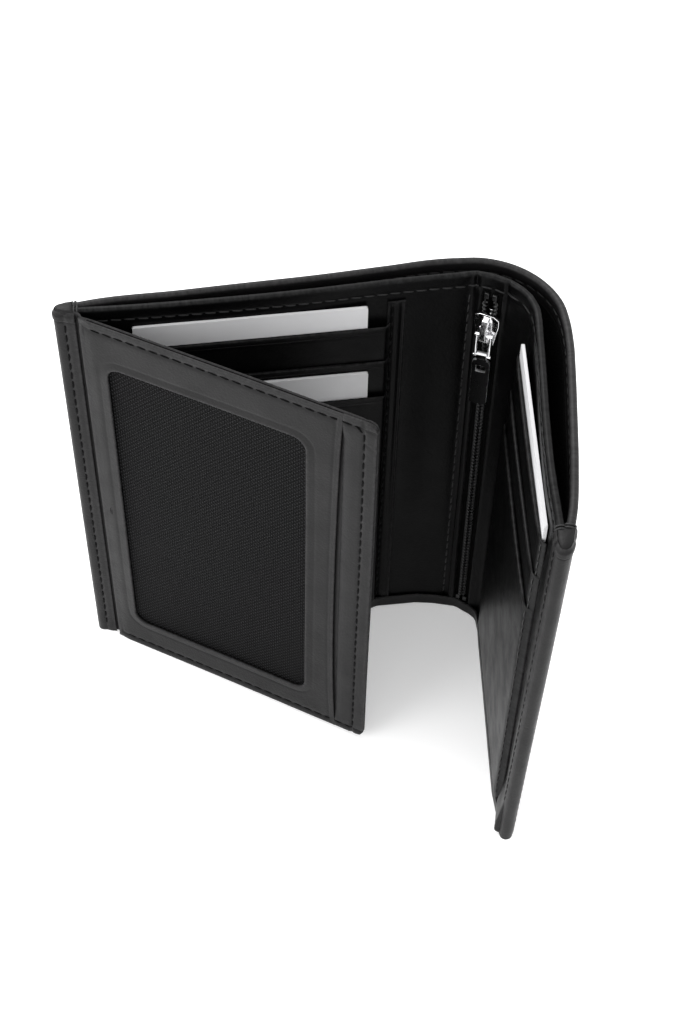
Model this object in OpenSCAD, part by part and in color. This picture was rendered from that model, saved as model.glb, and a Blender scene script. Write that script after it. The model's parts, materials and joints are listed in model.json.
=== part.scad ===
// Trifold leather wallet, standing half open on its bottom edge.
// The back leaf lies along +X, its card pockets face -Y, and the folds run along +Z.
// A path is a list of [x, y] points on the plan, from the left end of the back leaf,
// round the spine, to the free end of the front cover. Depth d is measured sideways
// from a path, towards the pockets.

/* [Wallet] */
// Height of the wallet, along its folds
wallet_h = 120; // [116:0.5:126]
// Thickness of the outer leather
shell_t = 1.2; // [0.9:0.1:1.3]
// Thickness of the cloth lining glued inside the outer leather
lining_t = 0.25; // [0.15:0.05:0.3]
// Thickness of the inner leather
liner_t = 0.8; // [0.5:0.1:0.8]
// Height of the leather turned up over the bottom edge
hem_h = 4; // [3:0.5:6]

/* [Card pockets] */
// Thickness of one pocket panel
panel_t = 0.45; // [0.3:0.05:0.45]
// Distance from the top edge down to the first pocket lip of the back leaf
back_lip_drop = 11.9; // [10:0.1:18]
// Distance from the top edge down to the first pocket lip of the front cover
front_lip_drop = 12; // [10:0.5:16]
// Step down from one pocket lip of the back leaf to the next
back_lip_step = 10.7; // [9:0.1:12]
// Step down from one pocket lip of the front cover to the next
front_lip_step = 11.7; // [9:0.1:12]
// Width, height and thickness of a bank card
card_size = [54, 85.6, 0.76]; // [0.5:0.01:90]
// Clearance on each face of a card
card_gap = 0.03; // [0.02:0.01:0.05]

/* [Window flap] */
// Total thickness of the flap
flap_t = 1.5; // [1.3:0.1:1.5]
// Angle of the flap to the back leaf, seen from above
flap_angle = -34.7; // [-50:0.1:-30]
// Length of the flap from its hinge to its free edge
flap_len = 74; // [70:0.1:76]
// Radius of the window corners
window_r = 3.5; // [2:0.5:6]

/* [Zip] */
// Width of the teeth of one zip row
teeth_w = 1.1; // [0.8:0.1:1.2]
// Distance from one tooth to the next
tooth_pitch = 1.6; // [1.4:0.1:2.4]
// Length of the zip
zip_len = 112; // [100:1:112]
// Height of the slider's centre above the foot of the zip
slider_z = 102; // [20:1:104]

/* [Hidden] */
$fn = 32;

// Leather colours
shell_colour = [0.16, 0.16, 0.17];
inner_colour = [0.09, 0.09, 0.1];
cloth_colour = [0.05, 0.05, 0.06];
metal_colour = [0.8, 0.8, 0.82];
card_colour = [0.78, 0.78, 0.79];

// Outer face of the shell. The spine is an arc, wide at the top and tighter at the bottom.
spine_steps = 16;
spine_top_c = [94, -14.7];
spine_top_r = 20.7;
spine_low_c = [92.5, -14.6];
spine_low_r = 15.8;
// Where the shell is parted at the two spine folds, as angles round the spine's centre
spine_from = 78;
spine_to = 8;
shell_back_low = [[1.3, 1.4], [4.9, 1.9], [9, 2.3], [30, 2.4], [56, 2.2], [76, 1.9], [93.4, 0.7]];
shell_back_high = [[1.3, 1.4], [4.9, 2.1], [9, 2.7], [30, 3.3], [56, 4.4], [76, 5.5], [93.4, 6]];
shell_front_low = [[108.4, -16.4], [108.4, -22], [107.7, -30], [105.9, -41.4], [103.3, -59.8],
    [101.2, -74.5], [99.45, -78.6]];
shell_front_high = [[114.6, -16.9], [113.9, -24], [112.7, -31], [110.3, -43.5], [106.6, -60],
    [102.4, -75], [100.4, -80.3]];

// Front face of the inner leather, which the pockets are sewn to
liner_back_low = [[1.8, -0.85], [5.5, -1.2], [20, -1.6], [56, -1.5], [76.1, -1.5]];
liner_back_high = [[1.8, -0.85], [5.5, -1], [20, -1.6], [56, -1.5], [76.1, -0.7]];
plain_low = [[80.5, -2.4], [88, -2.7], [93.3, -3.7]];
plain_high = [[80.5, -0.5], [88, -0.3], [93.3, -0.3]];
seam_low = [[76.3, -1.5], [80.3, -2.3]];
seam_high = [[76.3, -0.7], [80.3, -0.5]];
liner_spine_low = [[103.5, -8.9], [103.9, -10.2], [104, -11.1]];
liner_spine_high = [[103.9, -4.6], [106.3, -8], [107.1, -11.2]];
divider_spine_low = [[98.2, -4.6], [102, -7.2], [103.5, -8.9], [104, -11.1]];
divider_spine_high = [[98.2, -1], [103.2, -3.9], [106.3, -8], [107.1, -11.2]];
liner_front_low = [[104.9, -15.8], [104.9, -20], [104.7, -29], [102.4, -47], [100.4, -61],
    [98.3, -74.3], [97, -78.2]];
liner_front_high = [[107, -15.8], [106.3, -20.1], [104.8, -29.3], [101.9, -47], [99.9, -60.9],
    [98.6, -74.3], [98, -80]];

// Inner face of the turned hem along the bottom
hem_t = 0.6;
floor_t = 0.7;
hem_back_path = [[5.4, -1.9], [13.6, -2.3], [14.6, -4.7], [73, -4.7], [77, -3.3], [88, -3.5],
    [92.8, -4.4]];
hem_spine_path = [[98.5, -6.2], [102, -9.5], [103.2, -11.4]];
hem_front_path = [[103.1, -15.8], [102.5, -20], [96.9, -66.5], [96.7, -74.3]];

// The bindings that wrap the two ends
binding_t = 0.7;
binding_left_path = [[4.7, 2.95], [1.6, 2.5], [0.1, 1.6], [-0.4, 0.2], [0.2, -1.1], [1.6, -1.75],
    [4.7, -2.6]];
binding_right_low = [[96.6, -74.8], [96.1, -78.2], [96.5, -79.6], [97.8, -80.4], [99.3, -80.1],
    [100.3, -78.8], [101.85, -74.9]];
binding_right_high = [[97.4, -76.2], [96.9, -80.3], [97.3, -81.9], [98.7, -82.7], [100.3, -82.2],
    [101.3, -80.9], [102.95, -76.3]];

// The wallet's origin is at the centre of its foot print
centre = [(binding_left_path[3][0] + spine_top_c[0] + spine_top_r) / 2,
    (binding_right_high[3][1] + spine_top_c[1] + spine_top_r) / 2];

// Depths of the layers behind the inner leather
air = 0.05;
divider_t = 0.3;
pouch_t = 0.4;
pouch_cloth = 0.15;
pouch_d = -liner_t - 2 * air;
divider_d = pouch_d - pouch_t - 2 * air;
divider_front_d = -liner_t - 2 * air;
wall_z = floor_t + 0.1;

// Back leaf pockets: the plane they start from, and their left and right edges
back_plane_y = -1.68;
back_pocket_x = [14.7, 75.9];
back_card_x = [17.3, 17.6];
// Front cover pockets, on a plane turned to lie along the cover
cover_angle = -96.93;
cover_plane = [104.8, -20];
front_pocket_x = [-4.8, 50.4];
front_card_x = -4.2;
pocket_seam = 1.2;
// Height of the feet of the pockets: the lowest one's cards stand on a deeper seam
pocket_foot = hem_h + 0.1;
back_seam = 5;
back_foot_step = 9.8;
front_foot_step = 10.53;
card_r = 0.5;
card_step = card_size[2] + 2 * card_gap;
layer_step = panel_t + card_gap;

// Flap: positions are distances s along it from its hinge
flap_hinge = [6, -3.2];
hinge_strip_s = [0.4, 3.2];
leaf_s = 4.1;
window_s = [6.2, 56.8];
window_z = [11.2, 107.4];
slot_s = [65.4, 66.1];
flap_corner_r = 2.5;
frame_t = 0.6;
mesh_t = 0.14;

// Zip: its own frame stands at the foot of the teeth and leans with the spine
zip_foot = [100.3, -6.2, 4];
zip_lean = [-1.9, -0.11, 0];
zip_turn = -35;
row_gap = 0.45;
tape_t = 0.4;
tape_left_w = 2.7;
tape_right_w = 2.1;
teeth_t = 0.8;
tooth_h = 0.9;
tooth_count = floor((zip_len - 4) / tooth_pitch);

// Slider and pull
plate_t = 0.9;
plate_y = -teeth_t - 0.15 - plate_t;
slider_len = 8.6;
slider_w = [4.2, 6.2];
neck_w = 0.6;
bridge_w = 1.5;
bridge_h = 2.1;
link_wire = 0.8;
link_w = 4.2;
link_len = 6.4;
pivot_y = plate_y - 0.9;
pivot_z = slider_z - 1.2;
pull_twist = 8;
tab_w = 4.2;
tab_neck_w = 2.4;
tab_len = 15.6;
tab_t = 0.8;
eye_r = 1;

function unit(v) = v / norm(v);
function inward(v) = [v[1], -v[0]];
function mix(a, b, t) = a + (b - a) * t;
function span(p, i) = unit(p[i + 1] - p[i]);
function side(p, i) = let (
    last = len(p) - 1,
    a = inward(span(p, max(i - 1, 0))),
    b = inward(span(p, min(i, last - 1)))) (a + b) / (1 + a * b);
// A path moved sideways by d
function shifted(p, d) = [for (i = [0:len(p) - 1]) p[i] + d * side(p, i)];
function from(p, first) = [for (i = [first:len(p) - 1]) p[i]];
// A path with each end drawn in by d
function trimmed(p, d) = let (last = len(p) - 1) [for (i = [0:last])
    p[i] + (i == 0 ? d * span(p, 0) : i == last ? -d * span(p, last - 1) : [0, 0])];
function reversed(p) = [for (i = [len(p) - 1:-1:0]) p[i]];
function raised(p, z) = [for (q = p) [q[0], q[1], z]];
function arc(c, r, from, to, n) = [for (i = [0:n])
    let (a = mix(from, to, i / n)) c + r * [cos(a), sin(a)]];
// The outline between two depths of a path
function band(p, d0, d1) = concat(shifted(p, d0), reversed(shifted(p, d1)));

spine_low = arc(spine_low_c, spine_low_r, spine_from, spine_to, spine_steps);
spine_high = arc(spine_top_c, spine_top_r, spine_from, spine_to, spine_steps);

// A leaning sheet of leather or cloth between depths d0 < d1, whose plan changes evenly
// from the low path at height 0 to the high path at the top of the wallet
module sheet(low, high, d0, d1, z0 = wall_z, z1 = wallet_h) {
    n = len(low);
    foot = [for (i = [0:n - 1]) mix(low[i], high[i], z0 / wallet_h)];
    head = [for (i = [0:n - 1]) mix(low[i], high[i], z1 / wallet_h)];
    points = concat(raised(shifted(foot, d0), z0), raised(shifted(foot, d1), z0),
        raised(shifted(head, d1), z1), raised(shifted(head, d0), z1));
    // The two faces are split along the same diagonals, so that the sheet stays even
    sides = [for (k = [0:3], i = [0:n - 2]) let (
        a = k * n + i,
        b = ((k + 1) % 4) * n + i) each k == 3
            ? [[a, b, a + 1], [b, b + 1, a + 1]] : [[a, b, b + 1], [a, b + 1, a + 1]]];
    polyhedron(points, concat(sides, [[0, 3 * n, 2 * n], [0, 2 * n, n],
        [n - 1, 2 * n - 1, 3 * n - 1], [n - 1, 3 * n - 1, 4 * n - 1]]));
}

module placed() { translate([-centre[0], -centre[1], 0]) children(); }
module on_flap() { translate(flap_hinge) rotate(flap_angle) children(); }
module on_cover() { translate(cover_plane) rotate(cover_angle) children(); }
module on_zip() { translate(zip_foot) rotate(zip_lean) rotate(zip_turn) children(); }
// Stands a flat outline up, so that its y becomes height, with its face at depth y
module upright(y, t) { translate([0, y + t, 0]) rotate([90, 0, 0]) linear_extrude(t) children(); }

// A hem: the strip turned up inside, and the floor that joins it to the shell. The floor
// ends inside the strip, a little short of the strip's own ends.
module hem(path, shell_low) {
    linear_extrude(hem_h) polygon(band(path, -hem_t, 0));
    linear_extrude(floor_t)
        polygon(concat(shifted(shell_low, shell_t + lining_t + 2 * air),
            reversed(shifted(trimmed(path, hem_t / 2), -hem_t / 2))));
}

// A pocket panel whose back is at depth y, with the seam that closes its foot
module pocket(x, foot, lip, y, depth, seam) {
    translate([x[0], -y - panel_t, foot]) cube([x[1] - x[0], panel_t, lip - foot]);
    translate([x[0], -y, foot]) cube([x[1] - x[0], depth, seam]);
}

function back_foot(n) = n == 3 ? pocket_foot
    : pocket_foot + back_seam - pocket_seam + (3 - n) * back_foot_step;
function front_foot(n) = pocket_foot + (3 - n) * front_foot_step;

module back_pocket(n, y, depth) {
    lip = wallet_h - back_lip_drop - (n - 1) * back_lip_step;
    translate([0, back_plane_y, 0])
        pocket(back_pocket_x, back_foot(n), lip, y, depth, n == 3 ? back_seam : pocket_seam);
}

module front_pocket(n, y, depth) {
    lip = wallet_h - front_lip_drop - (n - 1) * front_lip_step;
    on_cover() pocket(front_pocket_x, front_foot(n), lip, y, depth, pocket_seam);
}

module shell(low, high) { color(shell_colour) sheet(low, high, 0, shell_t, 0); }
module lining(low, high) {
    color(cloth_colour) sheet(low, high, shell_t + air, shell_t + air + lining_t, floor_t + 0.1);
}

module shell_back() { shell(shell_back_low, shell_back_high); }
module shell_spine() { shell(spine_low, spine_high); }
module shell_front() { shell(shell_front_low, shell_front_high); }
module shell_lining_back() { lining(shell_back_low, shell_back_high); }
module shell_lining_spine() { lining(spine_low, spine_high); }
module shell_lining_front() { lining(shell_front_low, shell_front_high); }

module hem_back() { color(shell_colour) hem(hem_back_path, from(shell_back_low, 2)); }
module hem_spine() { color(shell_colour) hem(hem_spine_path, spine_low); }
module hem_front() {
    color(shell_colour)
        hem(hem_front_path, [for (i = [0:len(shell_front_low) - 2]) shell_front_low[i]]);
}

module edge_binding_left() {
    color(shell_colour) linear_extrude(wallet_h) polygon(band(binding_left_path, -binding_t, 0));
}
module edge_binding_right() {
    color(shell_colour) sheet(binding_right_low, binding_right_high, -binding_t, 0, 0);
}

// Behind the inner leather: the coin pouch and the cloth that walls the bill compartment
inner_back_low = concat([[8, -1.25]], from(liner_back_low, 2), plain_low);
inner_back_high = concat([[8, -1.1]], from(liner_back_high, 2), plain_high);
module bill_divider_back() {
    color(cloth_colour) sheet(inner_back_low, inner_back_high, divider_d - divider_t, divider_d);
}
module bill_divider_spine() {
    color(cloth_colour) sheet(divider_spine_low, divider_spine_high, divider_d - divider_t,
        divider_d);
}
module bill_divider_front() {
    low = [for (i = [0:len(liner_front_low) - 2]) liner_front_low[i]];
    high = [for (i = [0:len(liner_front_high) - 2]) liner_front_high[i]];
    color(cloth_colour) sheet(low, high, divider_front_d - divider_t, divider_front_d);
}
module coin_pouch() {
    low = from(inner_back_low, 2);
    high = from(inner_back_high, 2);
    color(cloth_colour) {
        sheet(low, high, pouch_d - pouch_cloth, pouch_d, 16, 112);
        sheet(low, high, pouch_d - pouch_t, pouch_d - pouch_t + pouch_cloth, 16, 112);
        sheet(low, high, pouch_d - pouch_t, pouch_d, 15, 16);
    }
}

module liner_back() { color(inner_colour) sheet(liner_back_low, liner_back_high, -liner_t, 0); }
module plain_panel() { color(inner_colour) sheet(plain_low, plain_high, -liner_t, 0); }
module pocket_seam_strip() {
    color(inner_colour) sheet(seam_low, seam_high, -liner_t, 0.9, hem_h + 0.1);
}
module liner_spine() { color(inner_colour) sheet(liner_spine_low, liner_spine_high, -liner_t, 0); }
module liner_front() { color(inner_colour) sheet(liner_front_low, liner_front_high, -liner_t, 0); }

module back_pocket_1() { color(inner_colour) back_pocket(1, card_step, card_step - card_gap); }
module back_pocket_2() { color(inner_colour) back_pocket(2, card_step + layer_step, card_gap / 2); }
module back_pocket_3() {
    color(inner_colour) back_pocket(3, 2 * (card_step + layer_step), card_step - card_gap);
}
module front_pocket_1() { color(inner_colour) front_pocket(1, card_step, card_step - card_gap); }
module front_pocket_2() {
    color(inner_colour) front_pocket(2, card_step + layer_step, card_gap / 2);
}
module front_pocket_3() {
    color(inner_colour) front_pocket(3, card_step + 2 * layer_step, card_gap / 2);
}

// A bank card that rests on the seam of its pocket
module card(foot) {
    color(card_colour) upright(-card_size[2] - card_gap, card_size[2])
        translate([0, foot + card_gap]) rounded(card_size[0], card_size[1], card_r);
}
module rounded(w, h, r) {
    translate([r, 0]) square([w - 2 * r, h]);
    translate([0, r]) square([w, h - 2 * r]);
    for (x = [r, w - r], y = [r, h - r]) translate([x, y]) circle(r);
}
module card_1() {
    translate([back_card_x[0], back_plane_y, 0]) card(back_foot(1) + pocket_seam);
}
module card_2() {
    translate([back_card_x[1], back_plane_y - card_step - 2 * layer_step, 0])
        card(back_foot(3) + back_seam);
}
module card_3() {
    on_cover() translate([front_card_x, 0, 0]) card(front_foot(1) + pocket_seam);
}

// Window flap
module flap_hinge_strip() {
    color(shell_colour) on_flap() translate([hinge_strip_s[0], -0.6, 0])
        cube([hinge_strip_s[1] - hinge_strip_s[0], 1.2, wallet_h]);
}
module free_end(s) {
    w = flap_len - s;
    r = flap_corner_r;
    translate([s, 0]) square([w - r, wallet_h]);
    translate([s, r]) square([w, wallet_h - 2 * r]);
    for (z = [r, wallet_h - r]) translate([flap_len - r, z]) circle(r);
}
module flap_back() {
    color(shell_colour) on_flap() upright(flap_t / 2 - frame_t, frame_t) free_end(leaf_s);
}
module flap_frame() {
    color(shell_colour) on_flap() upright(-flap_t / 2, frame_t) difference() {
        translate([leaf_s, 0]) square([slot_s[0] - leaf_s, wallet_h]);
        translate([window_s[0], window_z[0]])
            rounded(window_s[1] - window_s[0], window_z[1] - window_z[0], window_r);
    }
}
module flap_free_edge() {
    color(shell_colour) on_flap() upright(-flap_t / 2, flap_t - frame_t - 0.02) free_end(slot_s[1]);
}
module window_mesh() {
    color(cloth_colour) on_flap() upright(-mesh_t / 2, mesh_t)
        translate([leaf_s + 0.4, 4]) square([slot_s[0] - leaf_s - 1, wallet_h - 7]);
}

// Zip
module tape(x, w) {
    color(cloth_colour) on_zip() translate([x, 0, 0]) cube([w, tape_t, zip_len]);
}
module zip_tape_left() { tape(-row_gap - tape_left_w, tape_left_w); }
module zip_tape_right() { tape(row_gap, tape_right_w); }
// Teeth stand on a sewn cord along the edge of their tape
module teeth(x, rise) {
    color(cloth_colour) on_zip() translate([x, -teeth_t, 2]) {
        translate([0, teeth_t - 0.3, 0]) cube([teeth_w, 0.28, zip_len - 4]);
        for (i = [0:tooth_count - 1])
            translate([0, 0, i * tooth_pitch + rise]) cube([teeth_w, teeth_t - 0.2, tooth_h]);
    }
}
module zip_teeth_left() { teeth(-row_gap - teeth_w, 0); }
module zip_teeth_right() { teeth(row_gap, tooth_pitch / 2 - 0.2); }
module stop(z) {
    color(metal_colour) on_zip() for (x = [-row_gap - teeth_w, row_gap])
        translate([x, -teeth_t, z]) cube([teeth_w, teeth_t - 0.02, 1.6]);
}
module zip_stop_top() { stop(zip_len - 1.8); }
module zip_stop_bottom() { stop(0.2); }

// The slider: a front plate, a back plate, the neck between the rows, and the bridge
module slider_plate(y, t) {
    upright(y, t) polygon([
        [-slider_w[0] / 2, -slider_len / 2], [slider_w[0] / 2, -slider_len / 2],
        [slider_w[1] / 2, slider_len / 2 - 2.6], [slider_w[1] / 2, slider_len / 2 - 0.8],
        [slider_w[1] / 2 - 1.4, slider_len / 2], [-slider_w[1] / 2 + 1.4, slider_len / 2],
        [-slider_w[1] / 2, slider_len / 2 - 0.8], [-slider_w[1] / 2, slider_len / 2 - 2.6]]);
}
module zip_slider() {
    color(metal_colour) on_zip() translate([0, 0, slider_z]) {
        slider_plate(plate_y, plate_t);
        slider_plate(tape_t + 0.12, 0.5);
        translate([-neck_w / 2, plate_y + 0.1, slider_len / 2 - 4])
            cube([neck_w, tape_t + 0.4 - plate_y, 3]);
        // The bridge is an arch along the plate that the link passes under
        translate([-bridge_w / 2, 0, 0]) rotate([90, 0, 90]) linear_extrude(bridge_w) polygon([
            [plate_y + 0.1, slider_len / 2 - 0.4], [plate_y - 1, slider_len / 2 - 1],
            [plate_y - bridge_h, slider_len / 2 - 3.4], [plate_y - bridge_h, -slider_len / 2 + 2.2],
            [plate_y - 0.9, -slider_len / 2 + 0.5], [plate_y + 0.1, -slider_len / 2 + 0.5],
            [plate_y + 0.1, -slider_len / 2 + 1.6], [plate_y - 0.5, -slider_len / 2 + 1.7],
            [plate_y - bridge_h + 0.6, -slider_len / 2 + 2.6],
            [plate_y - bridge_h + 0.6, slider_len / 2 - 3.8],
            [plate_y - 0.5, slider_len / 2 - 2.2], [plate_y + 0.1, slider_len / 2 - 1.8]]);
    }
}

// The link is a closed loop of wire: a pin under the bridge, two arms and a lower bar
module on_pull() { on_zip() translate([0, pivot_y, pivot_z]) rotate(pull_twist) children(); }
module pull_link() {
    r = link_wire / 2;
    color(metal_colour) on_pull() {
        for (z = [0, -link_len]) translate([-link_w / 2, 0, z]) rotate([0, 90, 0])
            cylinder(h = link_w, r = r);
        for (x = [-link_w / 2 + r, link_w / 2 - r])
            translate([x, 0, -link_len]) cylinder(h = link_len, r = r - 0.05);
    }
}

// The tab hangs on the link's lower bar by an eye
module pull_tab() {
    color(metal_colour) on_pull() translate([0, 0, -link_len]) {
        difference() {
            union() {
                translate([-tab_neck_w / 2, 0, 0]) rotate([0, 90, 0])
                    cylinder(h = tab_neck_w, r = eye_r);
                upright(-tab_t / 2, tab_t) translate([-tab_neck_w / 2, -3])
                    square([tab_neck_w, 2.6]);
            }
            translate([-tab_w, 0, 0]) rotate([0, 90, 0]) cylinder(h = 2 * tab_w, r = 0.5);
        }
        upright(-tab_t / 2, tab_t) difference() {
            translate([-tab_w / 2, -tab_len]) rounded(tab_w, tab_len - 1.4, 0.8);
            translate([-tab_w / 2 + 0.9, -5]) square([tab_w - 1.8, 2]);
        }
    }
}

placed() {
    shell_back();
    shell_lining_back();
    hem_back();
    edge_binding_left();
    bill_divider_back();
    coin_pouch();
    liner_back();
    back_pocket_1();
    back_pocket_2();
    back_pocket_3();
    pocket_seam_strip();
    plain_panel();
    shell_spine();
    shell_lining_spine();
    hem_spine();
    bill_divider_spine();
    liner_spine();
    zip_tape_left();
    zip_tape_right();
    zip_teeth_left();
    zip_teeth_right();
    zip_stop_top();
    zip_stop_bottom();
    shell_front();
    shell_lining_front();
    hem_front();
    bill_divider_front();
    liner_front();
    front_pocket_1();
    front_pocket_2();
    front_pocket_3();
    edge_binding_right();
    flap_hinge_strip();
    flap_back();
    flap_frame();
    flap_free_edge();
    window_mesh();
    zip_slider();
    pull_link();
    pull_tab();
    card_1();
    card_2();
    card_3();
}
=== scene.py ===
import json
import math

import bmesh
import bpy
import numpy as np
from mathutils import Matrix, Vector


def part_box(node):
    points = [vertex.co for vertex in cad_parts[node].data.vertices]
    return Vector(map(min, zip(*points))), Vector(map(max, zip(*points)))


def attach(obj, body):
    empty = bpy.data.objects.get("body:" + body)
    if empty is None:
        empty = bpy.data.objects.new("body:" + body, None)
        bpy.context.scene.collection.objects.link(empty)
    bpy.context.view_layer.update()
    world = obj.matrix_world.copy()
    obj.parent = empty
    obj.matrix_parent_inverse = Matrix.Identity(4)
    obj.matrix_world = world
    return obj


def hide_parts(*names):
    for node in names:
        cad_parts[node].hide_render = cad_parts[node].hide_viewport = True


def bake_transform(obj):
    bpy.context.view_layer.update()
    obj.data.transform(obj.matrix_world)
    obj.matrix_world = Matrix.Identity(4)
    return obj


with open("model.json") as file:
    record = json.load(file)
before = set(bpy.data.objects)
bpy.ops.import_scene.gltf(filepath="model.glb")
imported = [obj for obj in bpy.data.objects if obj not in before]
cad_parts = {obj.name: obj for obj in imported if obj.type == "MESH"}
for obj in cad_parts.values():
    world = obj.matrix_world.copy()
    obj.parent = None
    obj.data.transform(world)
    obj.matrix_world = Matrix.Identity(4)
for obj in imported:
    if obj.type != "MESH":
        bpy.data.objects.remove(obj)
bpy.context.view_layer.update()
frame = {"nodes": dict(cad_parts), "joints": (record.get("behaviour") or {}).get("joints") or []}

# Sizes are in metres, written as millimetres. A wall is described by u, the distance along its
# plan from the wallet's sewn left end, by its height z, and by its depth towards the pockets.
MM = 0.001
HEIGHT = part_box("shell_back")[1].z
FAR = 1.0

# Leather
SHELL_EDGE = 1.9 * MM        # thickness of the shell's turned top edge
SHELL_TURN = 6.0 * MM        # how far the shell's leather is turned down inside the top
SHELL_STITCH = 3.4 * MM      # the shell's seam below its top edge
LINER_EDGE = 1.6 * MM        # thickness of the inner leather's turned top edge
LINER_TURN = 5.2 * MM
LINER_STITCH = 3.7 * MM
LINER_FOOT = 0.8 * MM        # height of the inner leather's lower edge
HEM_STITCH = 2.2 * MM
PINCH = 0.24 * MM            # how deep a seam is drawn into the leather
SEAM_W = 0.5 * MM            # half the width of the furrow a seam lies in

# Thread
PITCH = 3.0 * MM
GAP = 0.55 * MM
THREAD_R = 0.19 * MM

# Zip
COIL_PITCH = 1.15 * MM
SLOT_HALF = 2.15 * MM        # half the width of the slot in the leather that the zip shows in
SLOT_TOP = HEIGHT - 6.2 * MM
# Where the leather beside the zip is creased: across the zip, and behind its face at the
# foot and at the top
CREASE_LEFT = (-3.8 * MM, -0.5 * MM, -0.1 * MM)
CREASE_RIGHT = (3.5 * MM, -1.2 * MM, 0.6 * MM)


# ---------------------------------------------------------------- curves and walls

def unit(v):
    return v / np.linalg.norm(v, axis=-1, keepdims=True)


def smooth(points, knots, t):
    """A smooth curve through points at their knots, at each value of t."""
    h = np.diff(knots)
    slope = np.diff(points, axis=0) / h[:, None]
    inner = (slope[:-1] * h[1:, None] + slope[1:] * h[:-1, None]) / (h[:-1] + h[1:])[:, None]
    tangent = np.vstack([slope[:1], inner, slope[-1:]])
    i = np.clip(np.searchsorted(knots, t, side="right") - 1, 0, len(h) - 1)
    s = ((t - knots[i]) / h[i])[..., None]
    step = h[i][..., None]
    return ((2 * s**3 - 3 * s**2 + 1) * points[i] + (s**3 - 2 * s**2 + s) * step * tangent[i]
            + (3 * s**2 - 2 * s**3) * points[i + 1] + (s**3 - s**2) * step * tangent[i + 1])


class Wall:
    """A leaning wall between a low and a high path on the plan, both smooth curves."""

    def __init__(self, low, high, z_low=0.0, z_high=HEIGHT):
        self.low, self.high = np.array(low, float), np.array(high, float)
        self.z_low, self.z_high = z_low, z_high
        mean = (self.low + self.high) / 2
        self.knots = np.concatenate([[0], np.cumsum(np.linalg.norm(np.diff(mean, axis=0), axis=1))])
        self.length = self.knots[-1]

    def plan(self, u, z):
        share = ((z - self.z_low) / (self.z_high - self.z_low))[..., None]
        low, high = smooth(self.low, self.knots, u), smooth(self.high, self.knots, u)
        return low + (high - low) * share

    def point(self, u, z, depth):
        u, z, depth = np.broadcast_arrays(np.asarray(u, float), z, depth)
        inside = np.clip(u, 0, self.length)
        step = 0.05 * MM
        along = self.plan(np.minimum(inside + step, self.length), z)
        along = unit(along - self.plan(np.maximum(inside - step, 0), z))
        inward = np.stack([along[..., 1], -along[..., 0]], -1)
        flat = self.plan(inside, z) + along * (u - inside)[..., None] + inward * depth[..., None]
        return np.concatenate([flat, z[..., None]], -1)

    def near(self, place, z):
        """The u of the wall's point nearest a place on the plan, at height z."""
        u = np.linspace(0, self.length, 2000)
        gaps = np.linalg.norm(self.plan(u, np.full(u.shape, z)) - np.array(place[:2]), axis=1)
        return u[np.argmin(gaps)]


class Flat:
    """A flat wall from origin, along one way and up another. Depth comes towards its right.
    It may bow, and it may rise evenly along its length."""

    def __init__(self, origin, along, up=(0, 0, 1), bow=None, rise=0.0):
        self.origin, self.along = np.array(origin, float), unit(np.array(along, float))
        self.up = unit(np.array(up, float))
        self.toward = np.cross(self.along, self.up)
        self.bow, self.rise = bow, rise

    def point(self, u, z, depth):
        u, z, depth = np.broadcast_arrays(np.asarray(u, float), z, depth)
        if self.bow:
            depth = depth + self.bow(u, z)
        height = z + self.rise * np.maximum(u, 0)
        return (self.origin + u[..., None] * self.along + height[..., None] * self.up
                + depth[..., None] * self.toward)


def rim_loop(node, level):
    """A CAD node's outline at one height, as an ordered loop of points on the plan."""
    mesh = bmesh.new()
    mesh.from_mesh(frame["nodes"][node].data)
    bmesh.ops.remove_doubles(mesh, verts=mesh.verts, dist=1e-6)
    flat = {f for f in mesh.faces if all(abs(v.co.z - level) < 1e-6 for v in f.verts)}
    beside = {}
    for edge in mesh.edges:
        if sum(f in flat for f in edge.link_faces) == 1:
            a, b = edge.verts
            beside.setdefault(a, []).append(b)
            beside.setdefault(b, []).append(a)
    first = next(iter(beside))
    loop, last = [first], None
    while True:
        onward = [v for v in beside[loop[-1]] if v is not last]
        if onward[0] is first and len(loop) > 2:
            break
        last = loop[-1]
        loop.append(onward[0])
    places = np.array([v.co.xy for v in loop])
    mesh.free()
    return places


def two_faces(node, top=True):
    """The outer and inner face of a CAD sheet at its top or foot, each from the left end on."""
    low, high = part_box(node)
    loop = rim_loop(node, high.z if top else low.z)
    n = len(loop) // 2

    def split(k):
        turned = np.roll(loop, -k, axis=0)
        return turned[:n], turned[n:][::-1]

    a, b = min((split(k) for k in range(2 * n)),
               key=lambda pair: np.linalg.norm(pair[0] - pair[1], axis=1).sum())
    if a[0, 0] - a[0, 1] > a[-1, 0] - a[-1, 1]:
        a, b = a[::-1], b[::-1]
    if np.linalg.norm(a, axis=1).mean() < np.linalg.norm(b, axis=1).mean():
        a, b = b, a
    return a, b


def joined(nodes, face, top):
    return np.vstack([two_faces(node, top)[face] for node in nodes])


def stations(start, end, step, lines=(), rim=0.0, ends="se"):
    """Places from start to end: even steps, closer ones across each line (place, reach), and
    close ones round the rims at the ends that are named."""
    values = list(np.linspace(start, end, max(2, round((end - start) / step) + 1)))
    for place, reach in lines:
        values += [place + reach * k for k in (-1.5, -1, -0.6, -0.3, 0, 0.3, 0.6, 1, 1.5)]
    bends = [rim * (1 - math.cos(math.radians(a))) for a in (20, 42, 65, 90)]
    values += [start + b for b in bends if "s" in ends] + [end - b for b in bends if "e" in ends]
    kept = [start]
    for value in sorted(values):
        if kept[-1] + 0.045 * MM < value < end - 0.045 * MM:
            kept.append(value)
    return np.array(kept + [end])


def bump(distance, reach):
    return np.exp(-(distance / reach) ** 2)


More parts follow.
